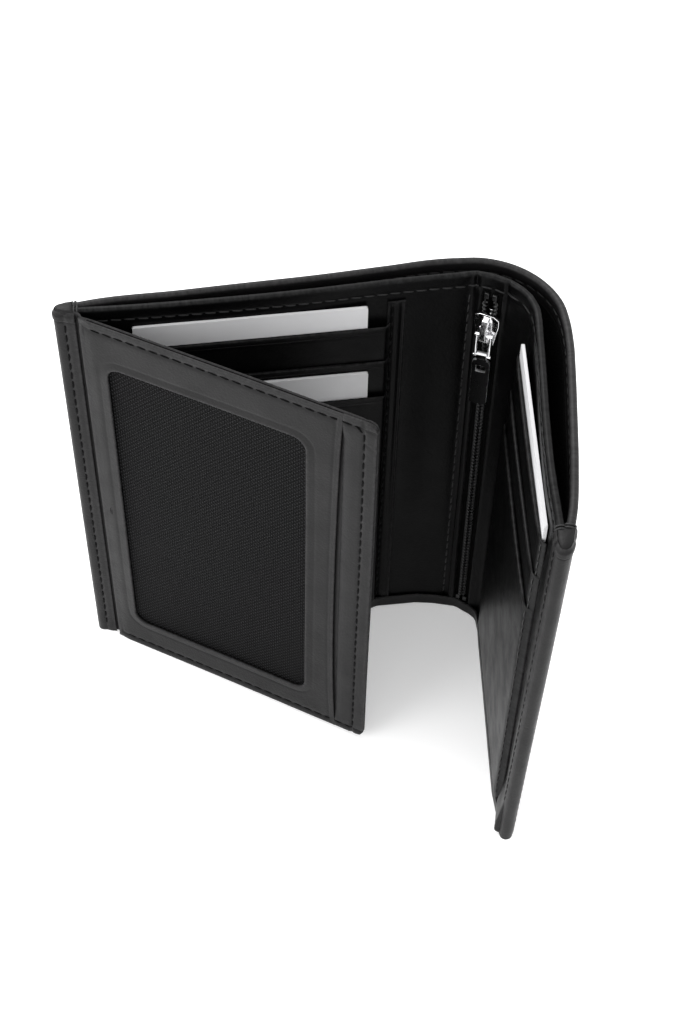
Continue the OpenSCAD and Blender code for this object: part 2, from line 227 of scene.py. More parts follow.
def step_up(distance, reach):
    """Rises smoothly from 0 to 1 as distance goes from 0 to reach."""
    t = np.clip(distance / reach, 0, 1)
    return t * t * (3 - 2 * t)


def ripple(u, z, size, phase=0.0):
    """A slow unevenness of soft leather, at most size deep."""
    a = np.sin(u / (13 * MM) + phase) * np.sin(z / (21 * MM) + 1.7 * phase)
    b = np.sin(u / (7.3 * MM) - z / (17 * MM) + 2.3 * phase)
    return size * (0.62 * a + 0.38 * b)


# ---------------------------------------------------------------- meshes

def keep_mesh(name, verts, faces, place=None, edge=None, sharp=40):
    mesh = bpy.data.meshes.new(name)
    mesh.from_pydata(np.asarray(verts, float).reshape(-1, 3).tolist(), [], faces)
    count = len(mesh.vertices)
    place = np.asarray(verts, float).reshape(-1, 3) if place is None else place.reshape(-1, 3)
    edge = np.full(count, FAR) if edge is None else edge.ravel()
    mesh.attributes.new("place", "FLOAT_VECTOR", "POINT").data.foreach_set(
        "vector", place.astype(np.float32).ravel())
    mesh.attributes.new("edge", "FLOAT", "POINT").data.foreach_set(
        "value", np.minimum(edge, 0.05).astype(np.float32))
    work = bmesh.new()
    work.from_mesh(mesh)
    bmesh.ops.remove_doubles(work, verts=work.verts, dist=2e-6)
    bmesh.ops.dissolve_degenerate(work, edges=work.edges, dist=1e-6)
    bmesh.ops.recalc_face_normals(work, faces=work.faces)
    work.to_mesh(mesh)
    work.free()
    mesh.shade_smooth()
    mesh.set_sharp_from_angle(angle=math.radians(sharp))
    piece = bpy.data.objects.new(name, mesh)
    bpy.context.scene.collection.objects.link(piece)
    return piece


def grid_faces(nu, nv, first, closed=False):
    i, j = np.meshgrid(np.arange(nu if closed else nu - 1), np.arange(nv - 1), indexing="ij")
    after = (i + 1) % nu
    quads = np.stack([i * nv + j, after * nv + j, after * nv + j + 1, i * nv + j + 1], -1)
    return (quads.reshape(-1, 4) + first).tolist()


def solid(name, out, inn, place, edge, closed=False, sharp=40):
    """A closed sheet between two grids of points, joined along their borders."""
    nu, nv = out.shape[:2]
    half = nu * nv
    faces = grid_faces(nu, nv, 0, closed)
    faces += [face[::-1] for face in grid_faces(nu, nv, half, closed)]
    borders = [[i * nv for i in range(nu)], [i * nv + nv - 1 for i in range(nu)][::-1]]
    if closed:
        borders = [border + border[:1] for border in borders]
    else:
        borders += [list(range(nv))[::-1], [(nu - 1) * nv + j for j in range(nv)]]
    for border in borders:
        faces += [[b, a, a + half, b + half] for a, b in zip(border, border[1:])]
    return keep_mesh(name, np.concatenate([out.reshape(-1, 3), inn.reshape(-1, 3)]), faces,
                     np.concatenate([place.reshape(-1, 3)] * 2), np.tile(edge.ravel(), 2), sharp)


def value_of(thing, u, z):
    return thing(u, z) if callable(thing) else np.full(np.shape(u), float(thing))


class Panel:
    """A panel of leather or cloth on a wall, between two depths, over a range of u and z."""

    def __init__(self, wall, us, zs, outer, inner, rim=None, sides="lrtb", corner=0.0, edge=None):
        self.wall, self.us, self.zs = wall, us, zs
        self.outer, self.inner, self.sides, self.corner = outer, inner, sides, corner
        self.rim = rim
        self.own_edge = edge

    def edge(self, u, z):
        if self.own_edge:
            return self.own_edge(u, z)
        away = {"l": u - self.us[0], "r": self.us[-1] - u,
                "b": z - self.zs[0], "t": self.zs[-1] - z}
        return np.minimum.reduce([away[s] for s in self.sides] or [np.full(np.shape(u), FAR)])

    def bent(self, u, z):
        """Draws the square corners in to round ones."""
        if not self.corner:
            return u, z
        c = self.corner
        a = np.clip((u - (self.us[-1] - c)) / c, 0, 1) if "r" in self.sides else 0 * u
        a = a - (np.clip((self.us[0] + c - u) / c, 0, 1) if "l" in self.sides else 0)
        b = np.clip((z - (self.zs[-1] - c)) / c, 0, 1) - np.clip((self.zs[0] + c - z) / c, 0, 1)
        return u + c * a * (np.sqrt(1 - b * b / 2) - 1), z + c * b * (np.sqrt(1 - a * a / 2) - 1)

    def depths(self, u, z):
        return value_of(self.outer, u, z), value_of(self.inner, u, z)

    def at(self, u, z, side, lift=0.0):
        """A point lifted off one face: side 1 is the inner face and -1 the outer."""
        outer, inner = self.depths(u, z)
        return self.wall.point(u, z, (inner + lift) if side > 0 else (outer - lift))

    def build(self, name, sharp=40):
        u, z = np.meshgrid(self.us, self.zs, indexing="ij")
        outer, inner = self.depths(u, z)
        edge = self.edge(u, z)
        middle, half = (outer + inner) / 2, (inner - outer) / 2
        radius = self.rim or np.max(half)
        t = np.clip(edge / radius, 0, 1)
        half = half * np.sqrt(1 - (1 - t) ** 2)
        bu, bz = self.bent(u, z)
        place = np.stack([u, z, 0 * u], -1)
        return solid(name, self.wall.point(bu, bz, middle - half),
                     self.wall.point(bu, bz, middle + half), place, edge, sharp=sharp)


class Thread:
    """Sewing thread: each stitch is a short rounded length that dips in at both ends."""

    def __init__(self):
        self.verts, self.faces, self.count = [], [], 0

    def sew(self, panel, line, side, pitch=PITCH, gap=GAP, radius=THREAD_R, slant=0.16 * MM):
        line = np.array(line, float)
        run = np.concatenate([[0], np.cumsum(np.linalg.norm(np.diff(line, axis=0), axis=1))])
        n = max(1, int(round(run[-1] / pitch)))
        pitch = run[-1] / n
        t = np.array([0, 0.06, 0.2, 0.5, 0.8, 0.94, 1])
        lift = np.array([-0.55, 0.0, 0.42, 0.6, 0.42, 0.0, -0.55]) * radius
        fat = np.array([0.45, 0.85, 1, 1.05, 1, 0.85, 0.45]) * radius
        s = pitch * np.arange(n)[:, None] + gap / 2 + (pitch - gap) * t
        sway = np.broadcast_to(slant * (t - 0.5), s.shape)

        def at(s, lift):
            u, z = np.interp(s, run, line[:, 0]), np.interp(s, run, line[:, 1])
            return panel.at(u, z, side, lift)

        lift = np.broadcast_to(lift, s.shape)
        ahead = unit(at(s + 0.2 * MM, lift) - at(s - 0.2 * MM, lift))
        up = unit(at(s, lift + 0.5 * MM) - at(s, lift))
        across = unit(np.cross(ahead, up))
        centre = at(s, lift) + across * sway[..., None]
        turn = np.arange(6) * math.pi / 3
        ring = (centre[:, :, None] + fat[None, :, None, None]
                * (across[:, :, None] * np.cos(turn)[:, None] * 1.15
                   + up[:, :, None] * np.sin(turn)[:, None] * 0.9))
        rings = len(t)
        for k in range(n):
            base = self.count + k * rings * 6
            for i in range(rings - 1):
                for j in range(6):
                    a, b = base + i * 6 + j, base + i * 6 + (j + 1) % 6
                    self.faces.append([a, b, b + 6, a + 6])
            self.faces.append([base + j for j in range(6)])
            self.faces.append([base + (rings - 1) * 6 + j for j in range(6)][::-1])
        self.verts.append(ring.reshape(-1, 3))
        self.count += ring.size // 3

    def build(self, name):
        return keep_mesh(name, np.concatenate(self.verts), self.faces, sharp=60)


def tube(name, path, radius, sides=6):
    """A closed wire of one radius along a path of points."""
    path = np.array(path, float)
    ahead = unit(np.gradient(path, axis=0))
    across = unit(np.cross(ahead, np.array([0.31, 0.95, 0.05])))
    up = np.cross(ahead, across)
    turn = np.arange(sides) * 2 * math.pi / sides
    ring = path[:, None] + radius * (across[:, None] * np.cos(turn)[:, None]
                                     + up[:, None] * np.sin(turn)[:, None])
    n = len(path)
    faces = [[i * sides + j, i * sides + (j + 1) % sides, (i + 1) * sides + (j + 1) % sides,
              (i + 1) * sides + j] for i in range(n - 1) for j in range(sides)]
    faces += [list(range(sides))[::-1], [(n - 1) * sides + j for j in range(sides)]]
    return keep_mesh(name, ring, faces, sharp=60)


# ---------------------------------------------------------------- materials

class Nodes:
    """A small helper that adds shader nodes to one material."""

    def __init__(self, name):
        self.material = bpy.data.materials.new(name)
        self.material.use_nodes = True
        self.tree = self.material.node_tree
        self.shader = self.tree.nodes["Principled BSDF"]

    def add(self, kind, **values):
        node = self.tree.nodes.new(kind)
        for key, value in values.items():
            setattr(node, key, value)
        return node

    def link(self, source, target):
        self.tree.links.new(source, target)

    def put(self, socket, value):
        if isinstance(value, bpy.types.NodeSocket):
            self.link(value, socket)
        else:
            socket.default_value = value

    def maths(self, operation, a, b=0.0, c=0.0):
        node = self.add("ShaderNodeMath", operation=operation)
        for socket, value in zip(node.inputs, (a, b, c)):
            self.put(socket, value)
        return node.outputs[0]

    def attribute(self, name):
        return self.add("ShaderNodeAttribute", attribute_name=name)

    def millimetres(self, own=True):
        """The place on the piece, in millimetres: its own sheet coordinates, or its object's."""
        scale = self.add("ShaderNodeVectorMath", operation="SCALE")
        source = (self.attribute("place").outputs["Vector"] if own
                  else self.add("ShaderNodeTexCoord").outputs["Object"])
        self.link(source, scale.inputs[0])
        scale.inputs["Scale"].default_value = 1 / MM
        return scale.outputs[0]

    def noise(self, vector, scale, detail=3.0, rough=0.5):
        node = self.add("ShaderNodeTexNoise")
        self.link(vector, node.inputs["Vector"])
        node.inputs["Scale"].default_value = scale
        node.inputs["Detail"].default_value = detail
        node.inputs["Roughness"].default_value = rough
        return node.outputs["Fac"]

    def cells(self, vector, scale, feature="F1"):
        node = self.add("ShaderNodeTexVoronoi", feature=feature)
        self.link(vector, node.inputs["Vector"])
        node.inputs["Scale"].default_value = scale
        return node.outputs["Distance"]

    def ramp(self, value, low, high, out_low, out_high):
        node = self.add("ShaderNodeMapRange", interpolation_type="SMOOTHSTEP")
        for socket, number in zip(node.inputs, (value, low, high, out_low, out_high)):
            self.put(socket, number)
        return node.outputs[0]

    def blend(self, share, a, b):
        node = self.add("ShaderNodeMix", data_type="RGBA")
        self.put(node.inputs["Factor"], share)
        self.put(node.inputs["A"], (*a, 1) if isinstance(a, tuple) else a)
        self.put(node.inputs["B"], (*b, 1) if isinstance(b, tuple) else b)
        return node.outputs["Result"]

    def bump(self, height, distance, strength=1.0, under=None):
        node = self.add("ShaderNodeBump")
        node.inputs["Strength"].default_value = strength
        node.inputs["Distance"].default_value = distance
        self.link(height, node.inputs["Height"])
        if under is not None:
            self.link(under, node.inputs["Normal"])
        return node.outputs[0]

    def finish(self, colour, roughness, normal=None, **constants):
        shader = self.shader.inputs
        self.put(shader["Base Color"], (*colour, 1) if isinstance(colour, tuple) else colour)
        self.put(shader["Roughness"], roughness)
        if normal is not None:
            self.link(normal, shader["Normal"])
        for key, value in constants.items():
            shader[key.replace("_", " ")].default_value = value
        return self.material


def leather(name, dark, light, rough, grain, specular=0.5):
    """Black leather: pebbled grain with fine pores, slow tone changes, and edges lightened partly
    by rubbed wear and partly by a painted highlight.
    """
    n = Nodes(name)
    place = n.millimetres()
    pebbles = n.cells(place, 1.9, "SMOOTH_F1")
    pores = n.noise(place, 5.5, 4, 0.6)
    slow = n.noise(place, 0.05, 3, 0.55)
    # Near its edges the leather is painted lighter: partly rubbed wear, partly a painted highlight
    # where the edges catch the light.
    rubbed_and_highlit = n.ramp(n.attribute("edge").outputs["Fac"], 0.0, 1.1 * MM, 1.0, 0.0)
    rubbed_and_highlit = n.maths("MULTIPLY", rubbed_and_highlit, n.ramp(n.noise(place, 0.8, 4, 0.7), 0.35, 0.7, 0.2, 1.0))
    tone = n.blend(n.ramp(slow, 0.3, 0.7, 0.0, 1.0), dark, light)
    worn_and_highlit = tuple(min(1.0, c * 2.6 + 0.02) for c in light)
    tone = n.blend(n.maths("MULTIPLY", rubbed_and_highlit, 0.55), tone, worn_and_highlit)
    shine = n.ramp(n.noise(place, 0.12, 4, 0.6), 0.25, 0.75, rough - 0.05, rough + 0.06)
    shine = n.maths("ADD", shine, n.maths("MULTIPLY", pebbles, 0.05))
    normal = n.bump(pebbles, grain * 0.045 * MM, 0.8)
    normal = n.bump(pores, grain * 0.028 * MM, 0.8, normal)
    return n.finish(tone, shine, normal, Specular_IOR_Level=specular)


def weave(name, colour, light, pitch, depth, rough, specular):
    """Plain-woven cloth: threads that pass over and under each other, with uneven yarn. The raised
    threads get a painted highlight and the hollows between them painted shade.
    """
    n = Nodes(name)
    place = n.add("ShaderNodeSeparateXYZ")
    n.link(n.millimetres(), place.inputs[0])
    turns = math.pi / (pitch / MM)
    across = n.maths("SINE", n.maths("MULTIPLY", place.outputs["X"], turns))
    along = n.maths("SINE", n.maths("MULTIPLY", place.outputs["Y"], turns))
    crossing = n.maths("MULTIPLY", across, along)
    threads = n.maths("MULTIPLY", n.maths("ABSOLUTE", across), n.maths("ABSOLUTE", along))
    height = n.maths("ADD", n.maths("MULTIPLY", crossing, 0.5), n.maths("POWER", threads, 0.6))
    yarn = n.noise(n.millimetres(), 3.0, 3, 0.6)
    # Painted highlight on the raised threads and painted shade in the hollows between them, from
    # the threads' height.
    thread_highlight_and_shade = n.maths("MULTIPLY", n.ramp(height, 0.35, 1.3, 0.0, 1.0), n.ramp(yarn, 0.3, 0.7, 0.5, 1.0))
    normal = n.bump(height, depth, 1.0)
    return n.finish(n.blend(thread_highlight_and_shade, colour, light), rough, normal, Specular_IOR_Level=specular)


def thread_material(name, colour, specular, own=True):
    n = Nodes(name)
    place = n.millimetres(own)
    twist = n.add("ShaderNodeTexWave", wave_type="BANDS", bands_direction="DIAGONAL")
    n.link(place, twist.inputs["Vector"])
    twist.inputs["Scale"].default_value = 1.6
    twist.inputs["Distortion"].default_value = 1.2
    tone = n.blend(twist.outputs["Fac"], tuple(c * 0.6 for c in colour), colour)
    return n.finish(tone, 0.55, n.bump(twist.outputs["Fac"], 0.03 * MM),
                    Specular_IOR_Level=specular)


def metal(name, colour, rough):
    """Polished plated metal with faint scratches and smudges."""
    n = Nodes(name)
    place = n.millimetres(own=False)
    smudge = n.noise(place, 0.5, 4, 0.6)
    scratch = n.noise(place, 6.0, 2, 0.5)
    shine = n.ramp(smudge, 0.3, 0.7, rough, rough + 0.12)
    tone = n.blend(n.ramp(smudge, 0.4, 0.8, 0.0, 0.35), colour, tuple(c * 0.72 for c in colour))
    return n.finish(tone, shine, n.bump(scratch, 0.006 * MM), Metallic=1.0)


def plastic(name, colour, shade, rough, mottle):
    """Smooth plastic with a faint moulding texture and handling marks."""
    n = Nodes(name)
    place = n.millimetres(own=False)
    marks = n.noise(place, 0.09, 4, 0.6)
    fine = n.noise(place, 4.0, 3, 0.6)
    tone = n.blend(n.ramp(marks, 0.3, 0.7, 0.0, mottle), colour, shade)
    return n.finish(tone, n.ramp(marks, 0.3, 0.7, rough - 0.05, rough + 0.08),
                    n.bump(fine, 0.008 * MM), Specular_IOR_Level=0.5)


def floor_material():
    n = Nodes("floor_white")
    place = n.millimetres(own=False)
    tone = n.blend(n.noise(place, 0.004, 2, 0.5), (0.86, 0.86, 0.865), (0.88, 0.88, 0.88))
    n.shader.inputs["Emission Color"].default_value = (1, 1, 1, 1)
    return n.finish(tone, 0.75, Specular_IOR_Level=0.1, Emission_Strength=0.3)


SHELL = leather("shell_leather", (0.004, 0.0038, 0.004), (0.0066, 0.0063, 0.0066), 0.43, 1.0,
                0.145)
# The inner leather is a smoother, darker leather of its own, and its base colour is darkened
# further as painted shade for the wallet's shadowed inside.
INNER = leather("inner_leather", (0.0005, 0.0005, 0.0006), (0.0017, 0.0017, 0.0018), 0.35, 0.8,
                0.07)
CLOTH = weave("lining_cloth", (0.0008, 0.0008, 0.0009), (0.004, 0.004, 0.0042), 0.45 * MM,
              0.05 * MM, 0.75, 0.08)
# The window mesh's light colour is the painted highlight on its raised threads; its dark colour is
# painted shade between them.
MESH = weave("window_mesh", (0.0004, 0.0004, 0.0005), (0.02, 0.02, 0.021), 0.62 * MM,
             0.22 * MM, 0.6, 0.05)
TAPE = weave("zip_tape", (0.0005, 0.0005, 0.0005), (0.002, 0.002, 0.002), 0.5 * MM, 0.08 * MM,
             0.7, 0.04)
SEAM = thread_material("sewing_thread", (0.008, 0.008, 0.0083), 0.35)
# The same black thread, painted darker as the shade it lies in where it is sunk in a groove (flap,
# bindings, seam strip).
SHADED_SEAM = thread_material("sunk_thread_painted_shade", (0.0012, 0.0012, 0.0013), 0.06)
TEETH = plastic("zip_teeth", (0.012, 0.012, 0.0125), (0.006, 0.006, 0.006), 0.3, 0.6)
METAL = metal("zip_metal", (0.86, 0.86, 0.87), 0.1)
TAB_FACE = metal("pull_tab_face", (0.0035, 0.0035, 0.0036), 0.16)
TAB_RIM = metal("pull_tab_rim", (0.92, 0.92, 0.93), 0.42)
STOPS = metal("zip_stops", (0.05, 0.05, 0.05), 0.3)
CARD = plastic("card_plastic", (0.62, 0.62, 0.63), (0.56, 0.56, 0.57), 0.4, 0.5)


# ---------------------------------------------------------------- the wallet's walls

joints = {joint["name"]: joint for joint in frame["joints"]}

SHELL_NODES = ("shell_back", "shell_spine", "shell_front")
shell_wall = Wall(joined(SHELL_NODES, 0, False), joined(SHELL_NODES, 0, True))
shell_outer, shell_inner = two_faces("shell_back", False)
SHELL_T = float(np.linalg.norm(shell_outer[3] - shell_inner[3]))

# The zip's own axes: along the teeth, across them, and out of the tapes' front
zip_up = -unit(np.array(joints["zip_slide"]["axis"]))


def cad_points(node):
    mesh = frame["nodes"][node].data
    return np.array([v.co for v in mesh.vertices], float)


tape_left, tape_right = cad_points("zip_tape_left"), cad_points("zip_tape_right")
zip_across = tape_right.mean(0) - tape_left.mean(0)
zip_across = unit(zip_across - zip_up * (zip_across @ zip_up))
zip_behind = np.cross(zip_up, zip_across)
zip_foot = (zip_across * ((tape_left @ zip_across).max() + (tape_right @ zip_across).min()) / 2
            + zip_behind * (tape_left @ zip_behind).min() + zip_up * (tape_left @ zip_up).min())
TAPE_T = np.ptp(tape_left @ zip_behind)
ZIP_LEN = np.ptp(tape_left @ zip_up)


def zip_plan(x, y, z):
    """A place on the plan beside the zip, at height z."""
    start = zip_foot + zip_across * x + zip_behind * y
    return (start + zip_up * (z - start[2]) / zip_up[2])[:2]


LINER_NODES_A = ("liner_back", "plain_panel")
LINER_NODES_B = ("liner_spine", "liner_front")


def liner_path(top):
    z = HEIGHT if top else LINER_FOOT
    left = joined(LINER_NODES_A, 1, top)
    right = joined(LINER_NODES_B, 1, top)[1:]
    first = zip_plan(CREASE_LEFT[0], CREASE_LEFT[2 if top else 1], z)
    second = zip_plan(CREASE_RIGHT[0], CREASE_RIGHT[2 if top else 1], z)
    ease = 0.45 * MM
    return np.vstack([left, first + unit(left[-1] - first) * ease,
                      first + unit(second - first) * ease, second + unit(first - second) * ease,
                      second + unit(right[0] - second) * ease, right])


liner_wall = Wall(liner_path(False), liner_path(True), LINER_FOOT)
LINER_T = float(np.linalg.norm(np.subtract(*[f[2] for f in two_faces("liner_back")])))

# Where the pieces that cross the folds are parted, in the middle of the spine
spine_mid = two_faces("shell_spine", True)[0]
spine_mid = spine_mid[len(spine_mid) // 2]
u_shell_mid = shell_wall.near(spine_mid, HEIGHT)


def dress(piece, material, slot, *replaced):
    piece.data.materials.append(material)
    if replaced:
        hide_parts(*replaced)
    return piece


def over_left(piece):
    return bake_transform(piece)


def over_right(piece):
    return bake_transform(piece)


def level(u0, u1, z, step=1 * MM):
    """A straight seam line at one height."""
    u = np.linspace(u0, u1, max(2, int(abs(u1 - u0) / step)))
    return np.stack([u, np.full(len(u), z)], -1)


def upright(u, z0, z1):
    z = np.linspace(z0, z1, 40)
    return np.stack([np.full(len(z), u), z], -1)


# ---------------------------------------------------------------- outer leather

def shell_ripple(u, z):
    """The outer leather's slow unevenness, which dies out at the sewn ends."""
    calm = step_up(u, 12 * MM) * step_up(shell_wall.length - u, 12 * MM)
    return ripple(u, z, 0.22 * MM) * calm


def shell_depth_out(u, z):
    seam = bump(HEIGHT - SHELL_STITCH - z, SEAM_W) + bump(z - HEM_STITCH, SEAM_W)
    swell = step_up(z - (HEIGHT - 2.2 * MM), 1.2 * MM)
    return PINCH * seam + shell_ripple(u, z) - 0.12 * MM * swell


def shell_depth_in(u, z):
    turned = step_up(z - (HEIGHT - SHELL_TURN), 0.35 * MM)
    swell = step_up(z - (HEIGHT - 2.2 * MM), 1.2 * MM)
    seam = bump(HEIGHT - SHELL_STITCH - z, SEAM_W)
    return (SHELL_T + (SHELL_EDGE - SHELL_T - 0.35 * MM) * turned + 0.25 * MM * swell
            - PINCH * seam + shell_ripple(u, z))


def make_shell():
    zs = stations(0, HEIGHT, 5 * MM, [(HEIGHT - SHELL_STITCH, 0.7 * MM), (HEM_STITCH, 0.7 * MM),
                                      (HEIGHT - SHELL_TURN + 0.2 * MM, 0.3 * MM)], 0.9 * MM)
    for name, start, end, sides, over, nodes in (
            ("outer_leather_back", 0, u_shell_mid, "ltb", over_left, ("shell_back", "shell_spine")),
            ("outer_leather_cover", u_shell_mid, shell_wall.length, "rtb", over_right,
             ("shell_front",))):
        us = stations(start, end, 1.1 * MM, [], 0.8 * MM, "s" if "l" in sides else "e")
        panel = Panel(shell_wall, us, zs, shell_depth_out, shell_depth_in, 0.85 * MM, sides)
        over(dress(panel.build(name), SHELL, "shell_leather", *nodes))
        thread = Thread()
        inset = 4.2 * MM
        a = start + inset if start == 0 else start
        b = end - inset if end == shell_wall.length else end
        for side in (-1, 1):
            thread.sew(panel, level(a, b, HEIGHT - SHELL_STITCH), side)
        thread.sew(panel, level(a, b, HEM_STITCH), -1)
        over(dress(thread.build(name + "_thread"), SEAM, "shell_leather"))


# ---------------------------------------------------------------- cloth behind the leather

def cloth_sheet(name, wall, u0, u1, z0, z1, depth, thick, over, nodes=(), phase=0.0):
    """A thin sheet of lining cloth with a slight ripple."""
    us, zs = stations(u0, u1, 2.2 * MM, [], 0.1 * MM), stations(z0, z1, 4 * MM, [], 0.1 * MM)

    def mid(u, z):
        free = step_up(u - u0, 10 * MM) * step_up(u1 - u, 10 * MM)
        return value_of(depth, u, z) + ripple(u, z, 0.12 * MM, phase) * free

    panel = Panel(wall, us, zs, lambda u, z: mid(u, z) - thick / 2,
                  lambda u, z: mid(u, z) + thick / 2, thick / 2)
    piece = dress(panel.build(name), CLOTH, "lining_cloth", *nodes)
    over(piece)


def make_linings():
    """Cloth glued inside the outer leather, below its turned top edge."""
    def depth(u, z):
        return SHELL_T + 0.3 * MM + shell_ripple(u, z)

    top = HEIGHT - SHELL_TURN + 0.5 * MM
    cloth_sheet("shell_lining_cloth_back", shell_wall, 2 * MM, u_shell_mid, 1 * MM, top, depth,
                0.22 * MM, over=over_left, nodes=("shell_lining_back", "shell_lining_spine"))
    cloth_sheet("shell_lining_cloth_cover", shell_wall, u_shell_mid, shell_wall.length - 3 * MM,
                1 * MM, top, depth, 0.22 * MM, over=over_right, nodes=("shell_lining_front",))


# ---------------------------------------------------------------- inner leather

u_zip_left = liner_wall.near(zip_plan(-SLOT_HALF, 0, HEIGHT / 2), HEIGHT / 2)
u_zip_right = liner_wall.near(zip_plan(SLOT_HALF, 0, HEIGHT / 2), HEIGHT / 2)
u_crease_left, u_crease_right = (
    liner_wall.near(zip_plan(x, (low + high) / 2, HEIGHT / 2), HEIGHT / 2)
    for x, low, high in (CREASE_LEFT, CREASE_RIGHT))
band_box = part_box("pocket_seam_strip")
u_band = [liner_wall.near((x, band_box[1].y), HEIGHT / 2) for x in (band_box[0].x, band_box[1].x)]
# The leather's edge along the zip is turned back, and sewn down a little way behind the turn
FOLD_SEAM_HALF = 0.95 * MM
STITCH_ASIDE = 1.3 * MM
u_fold = u_zip_left - FOLD_SEAM_HALF


def liner_edge(start, end, sides):
    def edge(u, z):
        away = [HEIGHT - z, z - LINER_FOOT]
        if "l" in sides:
            away.append(u - start)
        if "r" in sides:
            away.append(end - u)
        if "z" in sides:    # an edge along the zip's slot only
            slot = np.where(z < SLOT_TOP, 0.0, FAR)
            away.append(np.abs(u - (end if start < u_zip_left else start)) + slot)
        return np.minimum.reduce(away)
    return edge


pocket_end = cad_points("front_pocket_3")
u_side = liner_wall.near(pocket_end[np.argmin(pocket_end[:, 1])], HEIGHT / 2)


def padded_end(u, z):
    """Beyond the cover's pockets, layers underneath lift the leather up to the end binding."""
    lift = 0.6 + 1.4 * (1 - step_up(z - 4 * MM, 14 * MM)) - 0.6 * step_up(z - 98 * MM, 12 * MM)
    return lift * MM * step_up(u - u_side + 1 * MM, 2 * MM)


def liner_ripple(u, z):
    calm = step_up(u, 10 * MM) * step_up(liner_wall.length - u, 10 * MM)
    return ripple(u, z, 0.1 * MM, 0.6) * calm


def liner_front(u, z):
    """The face of the inner leather: its seams, its turned edges by the zip and its creases."""
    seam = bump(HEIGHT - LINER_STITCH - z, SEAM_W)
    swell = step_up(z - (HEIGHT - 2.4 * MM), 1.2 * MM)
    fold = np.clip(1 - ((u - u_fold) / FOLD_SEAM_HALF) ** 2, 0, 1) ** 0.35
    fold = fold * step_up(HEIGHT - 3 * MM - z, 3 * MM)
    slot = np.abs(u - u_zip_right)
    turned = (1 - step_up(slot - 0.4 * MM, 0.6 * MM)) * step_up(SLOT_TOP + 2 * MM - z, 2 * MM)
    valley = 0.5 * bump(u - u_crease_left, 0.5 * MM) + 0.4 * bump(u - u_crease_right, 0.5 * MM)
    near_top = step_up(z - (HEIGHT - 16 * MM), 12 * MM)
    beside = bump(u - u_fold + FOLD_SEAM_HALF + STITCH_ASIDE, SEAM_W)
    return (liner_ripple(u, z) - PINCH * seam + 0.1 * MM * swell
            + 0.6 * MM * fold + 0.15 * MM * turned - MM * valley * near_top
            - PINCH * beside + padded_end(u, z))


def liner_back_face(u, z):
    turned = step_up(z - (HEIGHT - LINER_TURN), 0.35 * MM)
    return -LINER_T - (LINER_EDGE - LINER_T) * turned + liner_ripple(u, z)


def make_liner():
    """The inner leather's two panels, parted at the zip, and the bridge above the zip."""
    lines = [(HEIGHT - LINER_STITCH, 0.6 * MM), (HEIGHT - LINER_TURN + 0.2 * MM, 0.25 * MM),
             (SLOT_TOP, 0.12 * MM)]
    zs = stations(LINER_FOOT, HEIGHT, 5 * MM, lines, 0.8 * MM)
    for name, start, end, sides, over, nodes in (
            ("inner_leather_back", 0, u_zip_left, "lz", over_left, ("liner_back", "plain_panel")),
            ("inner_leather_cover", u_zip_right, liner_wall.length, "rz", over_right,
             ("liner_spine", "liner_front"))):
        us = stations(start, end, 1.3 * MM,
                      [(u_fold, FOLD_SEAM_HALF), (u_crease_left, 0.9 * MM),
                       (u_crease_right, 0.9 * MM)], 0.45 * MM)
        us = us[(us >= start) & (us <= end)]
        panel = Panel(liner_wall, us, zs, liner_back_face, liner_front, 0.7 * MM,
                      edge=liner_edge(start, end, sides))
        over(dress(panel.build(name), INNER, "inner_leather", *nodes))
        thread = Thread()
        seam = HEIGHT - LINER_STITCH
        slot_mid = (u_zip_left + u_zip_right) / 2
        a = 4.5 * MM if start == 0 else slot_mid
        b = end - 4.5 * MM if end == liner_wall.length else slot_mid
        thread.sew(panel, level(a, b, seam), 1)
        if start == 0:
            side = u_fold - FOLD_SEAM_HALF - STITCH_ASIDE
            thread.sew(panel, upright(side, 4.6 * MM, HEIGHT - 6 * MM), 1, radius=0.2 * MM)
        over(dress(thread.build(name + "_thread"), SEAM, "inner_leather"))
    # Leather above the zip joins the two sides
    us = stations(u_zip_left, u_zip_right, 0.8 * MM, [], 0, "")
    bridge = Panel(liner_wall, us, zs[zs >= SLOT_TOP - 0.01 * MM], liner_back_face, liner_front,
                   0.7 * MM, edge=lambda u, z: np.minimum(HEIGHT - z, z - SLOT_TOP + 0.2 * MM))
    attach(dress(bridge.build("inner_leather_over_zip"), INNER, "inner_leather"), "spine")


def make_divider():
    """Cloth walls of the bill compartment and the coin pouch, behind the inner leather."""
    top = HEIGHT - LINER_TURN + 0.6 * MM
    u_mid = (u_crease_left + u_crease_right) / 2
    depth = -LINER_T - 1.05 * MM

    def beside_zip(u, z):
        return -LINER_T - (1.05 - 0.7 * step_up(u - u_mid - 5 * MM, 10 * MM)) * MM

    cloth_sheet("bill_divider_cloth_back", liner_wall, 5 * MM, u_mid, 1.2 * MM, top, depth,
                0.2 * MM, over=over_left, nodes=("bill_divider_back", "bill_divider_spine"),
                phase=1.1)
    cloth_sheet("bill_divider_cloth_cover", liner_wall, u_mid, liner_wall.length - 6 * MM,
                1.2 * MM, top, beside_zip, 0.2 * MM, over=over_right,
                nodes=("bill_divider_front",), phase=1.9)
    low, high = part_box("coin_pouch")
    u_pouch = liner_wall.near((low.x, low.y), HEIGHT / 2)
    for name, depth in (("coin_pouch_cloth_front", -LINER_T - 0.25 * MM),
                        ("coin_pouch_cloth_back", -LINER_T - 0.6 * MM)):
        nodes = ("coin_pouch",) if name.endswith("front") else ()
        cloth_sheet(name, liner_wall, u_pouch, u_crease_left - 0.5 * MM, low.z, high.z,
                    depth, 0.16 * MM, over=over_left, nodes=nodes,
                    phase=0.4)


